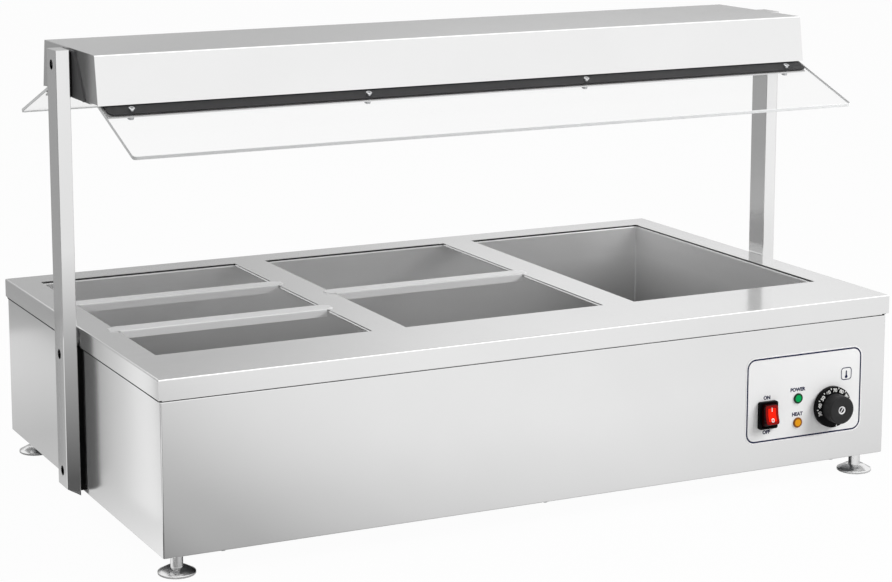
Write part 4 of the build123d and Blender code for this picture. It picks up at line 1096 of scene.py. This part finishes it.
@dataclass(frozen=True)
class FilmPrint:
    """What is printed on the control film.

    Attributes:
        inset: Distance of the border from the film's edge.
        corner: Radius of the border's corners.
        line: Width of the border's line.
        letter_height: Height of the words.
        letter_weight: How far their strokes are widened, as a share of their size.
        words: Each word with its place from the film's middle.
        icon_place: Place of the thermometer sign.
        icon_width: Width of the sign's frame.
        icon_height: Height of the sign's frame.
        icon_corner: Radius of the frame's corners.
        icon_line: Width of the frame's line.
        bulb_radius: Radius of the thermometer's bulb.
        stem_width: Width of its stem.
        stem_length: Length of its stem.
        stem_corner: Radius of the stem's corners.
        stem_thickness: How far the stem stands up, which is less than the bulb.
        bulb_steps: Steps round the bulb.
        thickness: How far the other ink stands up.
    """

    inset: float = 1.8 * MM
    corner: float = 14.0 * MM
    line: float = 2.2 * MM
    letter_height: float = 5.7 * MM
    letter_weight: float = 0.045
    words: tuple[tuple[str, Point], ...] = (
        ("ON", (-64.0 * MM, 3.4 * MM)),
        ("OFF", (-63.9 * MM, -47.2 * MM)),
        ("POWER", (-11.5 * MM, 9.4 * MM)),
        ("HEAT", (-11.4 * MM, -26.8 * MM)),
    )
    icon_place: Point = (72.5 * MM, 23.5 * MM)
    icon_width: float = 18.5 * MM
    icon_height: float = 18.5 * MM
    icon_corner: float = 5.0 * MM
    icon_line: float = 1.2 * MM
    bulb_radius: float = 2.3 * MM
    stem_width: float = 2.2 * MM
    stem_length: float = 9.0 * MM
    stem_corner: float = 0.99 * MM
    stem_thickness: float = 0.108 * MM
    bulb_steps: int = 32
    thickness: float = 0.12 * MM

    def build(self) -> None:
        """Prints the border, the words and the sign."""
        low, high = (Vector(corner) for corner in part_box("control_overlay"))
        centre = (low + high) / 2
        film = front_frame(centre.x, low.y, centre.z)
        width = high.x - low.x - 2 * self.inset
        height = high.z - low.z - 2 * self.inset
        ink = Solid().hoop(width, height, self.thickness, self.corner, self.line)
        for word, (x, y) in self.words:
            letters = Solid().lettered(word, self.letter_height, self.thickness, self.letter_weight)
            ink.joined(letters.placed(Matrix.Translation((x, y, 0.0))))
        ink.joined(self._thermometer().placed(Matrix.Translation((*self.icon_place, 0.0))))
        ink.placed(film).published("film_print", Palette.NAVY, Body.UNIT)

    def _thermometer(self) -> Solid:
        """Draws the thermometer in its frame.

        Returns:
            The sign, centred on the local origin.
        """
        sign = Solid().hoop(
            self.icon_width, self.icon_height, self.thickness, self.icon_corner, self.icon_line
        )
        low = -self.stem_length / 2
        bulb_outline = (
            (0.0, 0.0),
            (self.bulb_radius, 0.0),
            (self.bulb_radius, self.thickness),
            (0.0, self.thickness),
        )
        bulb = Solid().turned(bulb_outline, self.bulb_steps)
        sign.joined(bulb.placed(Matrix.Translation((0.0, low, 0.0))))
        stem = Solid().plate(self.stem_width, self.stem_length, self.stem_thickness, self.stem_corner)
        return sign.joined(stem.placed(Matrix.Translation((0.0, low + self.stem_length / 2, 0.0))))


@dataclass(frozen=True)
class SneezeGuard:
    """One glass panel under the hood with its clamp strip and bolts.

    Attributes:
        side: "front" or "rear", as in the nodes' names.
        turn: Degrees that the front guard is turned about Z to get this one.
        tilt: Slope of the glass in degrees.
        glass_width: Size of the glass down the slope.
        glass_thickness: Thickness of the glass.
        glass_corner: Radius of its corners.
        glass_edge: Ground edge of the glass.
        strip_width: Size of the strip down the slope.
        strip_showing: How much of the strip stands out from under the hood.
        strip_thickness: Thickness of the strip.
        strip_corner: Radius of its corners.
        strip_edge: Rounding of its edges.
        strip_gap: Gap between the strip and the hood's lower edge.
        bolt_setback: Distance of the bolts from the strip's outer edge.
        bolt_count: Bolts in the row.
        head_radius: Radius of a bolt's head.
        head_height: Height of the head.
        head_edge: Rounding of the head.
        socket: Radius of the corners of the head's hexagon.
        socket_depth: Depth of the hexagon.
        mouth: Radius of the round mouth that it is sunk into.
    """

    side: str
    turn: float
    tilt: float = 20.0
    glass_width: float = 153.0 * MM
    glass_thickness: float = 5.0 * MM
    glass_corner: float = 5.0 * MM
    glass_edge: float = 0.5 * MM
    strip_width: float = 40.0 * MM
    strip_showing: float = 24.0 * MM
    strip_thickness: float = 1.5 * MM
    strip_corner: float = 10.0 * MM
    strip_edge: float = 0.4 * MM
    strip_gap: float = 1.0 * MM
    bolt_setback: float = 8.0 * MM
    bolt_count: int = 4
    head_radius: float = 4.25 * MM
    head_height: float = 5.0 * MM
    head_edge: float = 0.5 * MM
    socket: float = 2.3 * MM
    socket_depth: float = 2.5 * MM
    mouth: float = 2.645 * MM

    def build(self) -> None:
        """Builds the glass and the strip."""
        clamp = self._clamp_frame()
        back = self.strip_width - self.bolt_setback
        glass_length = 2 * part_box(f"glass_{self.side}")[1][0]
        strip_length = 2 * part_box(f"clamp_strip_{self.side}")[1][0]
        glass = Solid().plate(glass_length, self.glass_width, self.glass_thickness, self.glass_corner)
        glass.softened(self.glass_edge, 1).edged()
        drop = -self.strip_thickness - self.glass_thickness
        glass.placed(clamp @ Matrix.Translation((0.0, back - self.glass_width / 2, drop)))
        node = f"glass_{self.side}"
        glass.published(f"guard_{node}", Palette.GLASS, Body.UNIT, (node,), Palette.GROUND)
        strip = Solid().plate(strip_length, self.strip_width, self.strip_thickness, self.strip_corner)
        strip.softened(self.strip_edge, 1)
        strip.placed(clamp @ Matrix.Translation((0.0, back - self.strip_width / 2, -self.strip_thickness)))
        strip.published(f"guard_strip_{self.side}", Palette.STRIP, Body.UNIT, (f"clamp_strip_{self.side}",))

    def bolt_heads(self) -> Solid:
        """Builds the row of bolt heads.

        Returns:
            The heads as one solid.
        """
        row = Solid()
        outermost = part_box("clamp_bolts")[1][0] - self.head_radius
        outline = (
            (0.0, 0.0),
            (self.head_radius, 0.0),
            (self.head_radius, self.head_height - self.head_edge),
            (self.head_radius - self.head_edge, self.head_height),
            (self.mouth, self.head_height),
        )
        for index in range(self.bolt_count):
            x = outermost * (2 * index / (self.bolt_count - 1) - 1)
            head = Solid().socketed(outline, self.socket, self.socket_depth)
            row.joined(head.placed(Matrix.Translation((x, 0.0, 0.0))))
        return row.placed(self._clamp_frame())

    def _clamp_frame(self) -> Matrix:
        """Finds the frame on the strip's upper face, along its row of bolts.

        Returns:
            The frame's matrix, with Y up the slope.
        """
        low, high = (Vector(corner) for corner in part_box("hood_shell"))
        slope = math.radians(self.tilt)
        run = self.strip_showing - self.bolt_setback
        out = (high.y - low.y) / 2 + run * math.cos(slope)
        drop = self.strip_gap + run * math.sin(slope)
        pivot = Matrix.Translation((0.0, (low.y + high.y) / 2, low.z - drop))
        turned = pivot @ Matrix.Rotation(math.radians(self.turn), 4, "Z")
        return turned @ Matrix.Translation((0.0, -out, 0.0)) @ Matrix.Rotation(slope, 4, "X")


@dataclass(frozen=True)
class RimShadowBeads:
    """Black rubber beads in the gap between the worktop's rim and the casing's sides, which paint the dark
    line under the rim: painted shade.

    Attributes:
        reach: How far a bead stands out past the casing's side.
        depth: Size of a bead across the unit.
        height: Height of the gap that it fills.
        end_gap: How far it stops short of the casing's ends.
        rounding: Radius of its long edges.
    """

    reach: float = 2.2 * MM
    depth: float = 5.0 * MM
    height: float = 2.5 * MM
    end_gap: float = 3.0 * MM
    rounding: float = 0.4 * MM

    def build(self) -> None:
        """Builds both beads as one piece."""
        low, high = (Vector(corner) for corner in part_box("casing_wrap"))
        rim_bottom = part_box("top_deck")[0][2]
        length = high.y - low.y - 2 * self.end_gap
        across = self.depth / 2
        rise = self.height / 2
        outline = ((-across, -rise), (across, -rise), (across, rise), (-across, rise))
        beads = Solid()
        for x in (low.x - self.reach + across, high.x + self.reach - across):
            bead = Solid().prism(outline, length).rounded_along(Vector((0.0, 0.0, 1.0)), self.rounding)
            beads.joined(bead.placed(front_frame(x, (low.y + high.y) / 2, rim_bottom - rise)))
        beads.published("rim_shadow_beads", Palette.RUBBER, Body.UNIT)


@dataclass(frozen=True)
class Dressing:
    """Finishes for the nodes of the frame that keep their own shape.

    Attributes:
        plan: Each finish with the nodes that it is for.
    """

    plan: tuple[tuple[Finish, tuple[str, ...]], ...] = (
        (Palette.SHEET, ("top_deck", "casing_wrap", "back_panel", "hood_shell", "hood_underside")),
        (Palette.END, ("hood_end_left", "hood_end_right")),
        (Palette.SHADED_BRACKET, ("hood_bracket_left", "hood_bracket_right")),
        (Palette.DIVIDER, ("divider_left_front", "divider_left_rear", "divider_middle")),
        (Palette.POST, ("post_left", "post_right")),
        (Palette.TANK, ("tank",)),
        (Palette.PLATED, ("base_plate", "heater_straps", "foot_sockets")),
        (Palette.PLATED, ("post_screws", "post_nuts", "clamp_nuts")),
        (Palette.PLATED, ("base_screws", "back_screws", "underside_screws")),
        (Palette.PLATED, ("thermostat_body", "thermostat_screws", "thermostat_shaft")),
        (Palette.SHEATH, ("heater_left", "heater_middle", "heater_right")),
        (Palette.COPPER, ("thermostat_bulb",)),
        (Palette.RUBBER, ("tank_seal", "post_spacers")),
        (Palette.SILICONE, ("glass_gasket_front", "glass_gasket_rear")),
        (Palette.BLACK, ("switch_housing", "cable_gland", "gland_nut")),
        (Palette.BARREL, ("power_lamp_body", "heat_lamp_body")),
        (Palette.FILM, ("control_overlay",)),
        (Palette.CERAMIC, ("terminal_block",)),
    )

    def apply(self) -> None:
        """Dresses every kept node."""
        for finish, node_names in self.plan:
            finish.dress(node_names)


def flat_sheet(name: str, width: float, height: float, material: bpy.types.Material) -> bpy.types.Object:
    """Makes a flat sheet for the studio, round the origin and facing up.

    Args:
        name: Name of the sheet.
        width: Size along X.
        height: Size along Y.
        material: Its material.

    Returns:
        The sheet, in the scene.
    """
    grid = bmesh.new()
    bmesh.ops.create_grid(grid, x_segments=1, y_segments=1, size=UNIT_HALF)
    bmesh.ops.scale(grid, vec=(width, height, 1.0), verts=grid.verts)
    mesh = bpy.data.meshes.new(name)
    grid.to_mesh(mesh)
    grid.free()
    mesh.materials.append(material)
    sheet = bpy.data.objects.new(name, mesh)
    bpy.context.scene.collection.objects.link(sheet)
    return sheet


@dataclass(frozen=True)
class Lamp:
    """A square area lamp that looks at the unit.

    Attributes:
        name: Name of the lamp.
        place: Where it hangs, in metres.
        size: Side of the square.
        power: Watts.
    """

    name: str
    place: tuple[float, float, float]
    size: float
    power: float

    def hang(self, aim: Vector) -> None:
        """Adds the lamp to the scene.

        Args:
            aim: Point that the lamp looks at.
        """
        data = bpy.data.lights.new(self.name, "AREA")
        data.size = self.size
        data.energy = self.power
        lamp = bpy.data.objects.new(self.name, data)
        lamp.location = self.place
        lamp.rotation_euler = (aim - Vector(self.place)).to_track_quat("-Z", "Y").to_euler()
        lamp.visible_glossy = False
        lamp.visible_transmission = False
        bpy.context.scene.collection.objects.link(lamp)


class Stance(Enum):
    """How a card is set up, as its turns about X and then Z in degrees."""

    LYING = (0.0, 0.0)
    LYING_DEEP = (0.0, 90.0)
    ACROSS = (90.0, 0.0)
    ACROSS_BACKWARDS = (90.0, 180.0)
    ALONG = (90.0, 90.0)
    HANGING = (180.0, 0.0)


@dataclass(frozen=True)
class Card:
    """A grey card out of the camera's sight, for the steel to reflect: a painted reflection.

    Attributes:
        name: Name of the card.
        stance: How it is set up.
        centre: Its middle, in metres.
        width: Its width.
        height: Its height.
        tones: Its greys at places along its width, each place a share of it.
        fade: What the greys are multiplied by at places along its height.
        bounces: Number of reflections after which it is no longer seen.
    """

    name: str
    stance: Stance
    centre: tuple[float, float, float]
    width: float
    height: float
    tones: tuple[Point, ...]
    fade: tuple[Point, ...] = ((0.0, 1.0),)
    bounces: int = 12

    def stand(self) -> None:
        """Adds the card to the scene."""
        card = flat_sheet(self.name, self.width, self.height, self._material())
        tip, swing = (math.radians(angle) for angle in self.stance.value)
        card.matrix_world = (
            Matrix.Translation(self.centre) @ Matrix.Rotation(swing, 4, "Z") @ Matrix.Rotation(tip, 4, "X")
        )
        card.visible_camera = False
        card.visible_diffuse = False
        card.visible_transmission = False
        card.visible_shadow = False

    def _material(self) -> bpy.types.Material:
        """Makes the card's grey, which shows on its front only.

        Returns:
            The material.
        """
        material = bpy.data.materials.new(self.name)
        material.cycles.emission_sampling = "NONE"
        recipe = Recipe(material)
        recipe.nodes.remove(recipe.nodes["Principled BSDF"])
        place = recipe.add("SeparateXYZ", {"Vector": recipe.add("TexCoord").outputs["Object"]}).outputs
        glow = recipe.add("Emission", {
            "Color": self._graded(recipe, place["X"], self.width, self.tones),
            "Strength": self._graded(recipe, place["Y"], self.height, self.fade),
        })
        depth = recipe.add("LightPath").outputs["Ray Depth"]
        far = recipe.add("Math", {0: depth, 1: float(self.bounces)}, operation="GREATER_THAN")
        behind = recipe.add("NewGeometry").outputs["Backfacing"]
        hidden = recipe.add("Math", {0: far.outputs["Value"], 1: behind}, operation="MAXIMUM")
        clear = recipe.add("BsdfTransparent").outputs["BSDF"]
        surface = recipe.mixed(hidden.outputs["Value"], glow.outputs["Emission"], clear)
        recipe.feed(recipe.nodes["Material Output"], {"Surface": surface})
        return material

    @staticmethod
    def _graded(
        recipe: Recipe, place: bpy.types.NodeSocket, length: float, tones: Sequence[Point]
    ) -> bpy.types.NodeSocket:
        """Grades a grey along one of the card's sides.

        Args:
            recipe: Nodes of the card's material.
            place: Place along the side, from its middle.
            length: Length of the side.
            tones: Share of the length and grey of each stop.

        Returns:
            The grey.
        """
        along = recipe.add("MapRange", {"Value": place, "From Min": -length / 2, "From Max": length / 2})
        grade = recipe.add("ValToRGB", {"Fac": along.outputs["Result"]})
        stops = grade.color_ramp.elements
        while len(stops) < len(tones):
            stops.new(1.0)
        while len(stops) > len(tones):
            stops.remove(stops[-1])
        for stop, (share, tone) in zip(stops, tones):
            stop.position = share
            stop.color = (tone, tone, tone, 1.0)
        return grade.outputs["Color"]


@dataclass(frozen=True)
class Studio:
    """Floor, lamps, cards and world, at a plain level.

    Attributes:
        floor_side: Side of the floor.
        floor_tone: Grey of the floor.
        floor_glow: Share of plain white in the floor for the camera, also through glass.
        daylight: Strength of the world where it lights the unit.
        aim: Point that the lamps look at.
        lamps: The lamps.
        cards: The cards.
    """

    floor_side: float = 24.0
    floor_tone: float = 0.66
    floor_glow: float = 0.97
    daylight: float = 0.35
    aim: Vector = Vector((0.0, 0.0, 0.3))
    lamps: tuple[Lamp, ...] = (
        Lamp("key_lamp", (0.9, 0.9, 2.6), size=1.8, power=5.0),
        Lamp("front_lamp", (2.0, -1.5, 1.7), size=1.4, power=60.0),
        Lamp("left_lamp", (-1.6, 1.2, 1.9), size=1.4, power=14.0),
    )
    # The cards are painted reflections: the dark greys of the floor cards paint shade and the unit's own
    # shadow on the floor, side_card paints the casing's shade near the post, post_painted_reflection and
    # post_shade paint the post's shaded front where the casing mirrors it, and overhead paints highlights
    # along the bends.
    cards: tuple[Card, ...] = (
        Card(
            "back_low", Stance.ACROSS, (3.0, 9.0, 0.975), 18.0, 1.95,
            ((0.47, 0.54), (0.58, 0.42), (0.70, 0.34)),
        ),
        Card(
            "back_high", Stance.ACROSS, (2.0, 9.0, 2.675), 20.0, 1.45,
            ((0.545, 0.44), (0.59, 0.61), (0.63, 0.81), (0.67, 0.88), (0.75, 0.90), (0.80, 0.86)),
        ),
        Card("front_left_floor", Stance.LYING, (-3.9, -5.0, 0.002), 5.0, 7.6, ((0.0, 0.10),)),
        Card("front_floor", Stance.LYING, (3.0, -5.3, 0.002), 6.6, 7.6, ((0.0, 0.98),)),
        Card(
            "near_floor", Stance.LYING, (0.925, -0.9185, 0.003), 4.15, 1.163,
            (
                (0.0, 0.97), (0.088, 0.97), (0.1, 0.10), (0.128, 0.12), (0.152, 0.41), (0.166, 0.52),
                (0.183, 0.54), (0.212, 0.70), (0.241, 0.81), (0.277, 0.88), (0.342, 0.92), (0.48, 0.88),
            ),
            fade=((0.0, 1.0), (0.6, 1.0), (0.9, 0.88), (1.0, 0.80)),
        ),
        Card("back_left_floor", Stance.LYING, (-2.42, 4.4, 0.002), 3.16, 7.2, ((0.0, 0.37),)),
        Card(
            "side_floor", Stance.LYING_DEEP, (-0.70, 0.40, 0.002), 1.4, 0.28,
            ((0.0, 0.95), (0.29, 0.60), (0.5, 0.55), (0.79, 0.70), (1.0, 0.75)),
        ),
        Card(
            "side_card", Stance.ALONG, (-0.64, 0.07, 0.12), 0.36, 0.24,
            ((0.0, 0.97), (0.25, 0.90), (0.45, 0.66), (0.62, 0.60), (0.78, 0.40), (1.0, 0.20)),
        ),
        Card(
            "post_painted_reflection", Stance.ACROSS_BACKWARDS, (-0.574, -0.022, 0.341), 0.032, 0.622,
            ((0.0, 1.0),), fade=((0.03, 0.11), (0.33, 0.45), (0.55, 0.86), (1.0, 0.93)), bounces=1,
        ),
        Card("post_shade", Stance.ACROSS_BACKWARDS, (-0.574, -0.0225, 0.341), 0.032, 0.622, ((0.0, 0.12),)),
        Card(
            "overhead", Stance.HANGING, (0.0, -2.3, 4.0), 9.0, 2.4,
            ((0.0, 1.0),), fade=((0.0, 2.2),), bounces=1,
        ),
    )

    WHITE_LIGHT: ClassVar[tuple[float, ...]] = (1.0, 1.0, 1.0, 1.0)

    def build(self) -> None:
        """Adds everything to the scene."""
        self._lay_floor()
        self._light_world()
        for lamp in self.lamps:
            lamp.hang(self.aim)
        for card in self.cards:
            card.stand()

    @staticmethod
    def _seen_by(recipe: Recipe, kinds: Sequence[str]) -> bpy.types.NodeSocket:
        """Makes a switch that is 1 for some kinds of ray.

        Args:
            recipe: Nodes that the switch is added to.
            kinds: Names of the Light Path outputs.

        Returns:
            The switch's output.
        """
        path = recipe.add("LightPath")
        total = path.outputs[kinds[0]]
        for kind in kinds[1:]:
            either = recipe.add("Math", {0: total, 1: path.outputs[kind]}, operation="ADD", use_clamp=True)
            total = either.outputs["Value"]
        return total

    def _lay_floor(self) -> None:
        """Lays a pale floor that keeps the unit's shadow."""
        material = bpy.data.materials.new("floor")
        recipe = Recipe(material)
        recipe.nodes.remove(recipe.nodes["Principled BSDF"])
        tone = (self.floor_tone, self.floor_tone, self.floor_tone, 1.0)
        matt = recipe.add("BsdfDiffuse", {"Color": tone}).outputs["BSDF"]
        glow = recipe.add("Emission").outputs["Emission"]
        seen = self._seen_by(recipe, ("Is Camera Ray", "Is Transmission Ray"))
        share = recipe.add("Math", {0: seen, 1: self.floor_glow}, operation="MULTIPLY")
        surface = recipe.mixed(share.outputs["Value"], matt, glow)
        recipe.feed(recipe.nodes["Material Output"], {"Surface": surface})
        floor = flat_sheet("floor", self.floor_side, self.floor_side, material)

    def _light_world(self) -> None:
        """Sets a white world that lights the unit at a plain level."""
        world = bpy.data.worlds.new("studio")
        recipe = Recipe(world)
        recipe.nodes.clear()
        plain = recipe.add("Background", {"Color": self.WHITE_LIGHT, "Strength": self.daylight})
        white = recipe.add("Background", {"Color": self.WHITE_LIGHT})
        seen = self._seen_by(recipe, ("Is Camera Ray", "Is Glossy Ray", "Is Transmission Ray"))
        surface = recipe.mixed(seen, plain.outputs["Background"], white.outputs["Background"])
        recipe.add("OutputWorld", {"Surface": surface})
        bpy.context.scene.world = world


@dataclass(frozen=True)
class Viewpoint:
    """The camera at the photograph's viewing angle.

    Attributes:
        place: Where the lens is, in metres.
        heading: Degrees that the view turns right from +Y.
        dip: Degrees that the view looks down.
        roll: Degrees that the camera leans.
        lens: Focal length in millimetres on the sensor.
        sensor: Sensor width in millimetres.
        shift: Shift of the frame, as shares of its width.
    """

    place: tuple[float, float, float] = (-1.5177, -3.0392, 1.0029)
    heading: float = 24.582
    dip: float = 9.475
    roll: float = -0.363
    lens: float = 94.50
    sensor: float = 36.0
    shift: Point = (0.0962, -0.1302)

    def build(self) -> None:
        """Adds the camera and makes it the scene's own."""
        data = bpy.data.cameras.new("camera")
        data.sensor_width = self.sensor
        data.lens = self.lens
        data.shift_x, data.shift_y = self.shift
        camera = bpy.data.objects.new("camera", data)
        camera.matrix_world = (
            Matrix.Translation(self.place)
            @ Matrix.Rotation(math.radians(-self.heading), 4, "Z")
            @ Matrix.Rotation(math.radians(90.0 - self.dip), 4, "X")
            @ Matrix.Rotation(math.radians(self.roll), 4, "Z")
        )
        bpy.context.scene.collection.objects.link(camera)
        bpy.context.scene.camera = camera


def main() -> None:
    """Builds the sub-assemblies in order."""
    logging.basicConfig(level=logging.INFO, format="%(message)s")
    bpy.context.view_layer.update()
    bpy.context.scene.view_settings.view_transform = "Standard"
    Viewpoint().build()
    Studio().build()
    Dressing().apply()
    RimShadowBeads().build()
    for body in (Body.FOOT_FRONT_LEFT, Body.FOOT_FRONT_RIGHT, Body.FOOT_BACK_LEFT, Body.FOOT_BACK_RIGHT):
        LevelFoot(body).build()
    guards = (SneezeGuard("front", 0.0), SneezeGuard("rear", 180.0))
    heads = Solid()
    for guard in guards:
        guard.build()
        heads.joined(guard.bolt_heads())
    heads.published("clamp_bolt_heads", Palette.BOLT, Body.UNIT, ("clamp_bolts",))
    RockerSwitch().build()
    PilotLamp("power_lamp_lens", Palette.GREEN, Palette.GREEN_SHADED_RING).build()
    PilotLamp("heat_lamp_lens", Palette.AMBER, Palette.AMBER_SHADED_RING).build()
    Knob().build()
    FilmPrint().build()


if __name__ == "__main__":
    main()
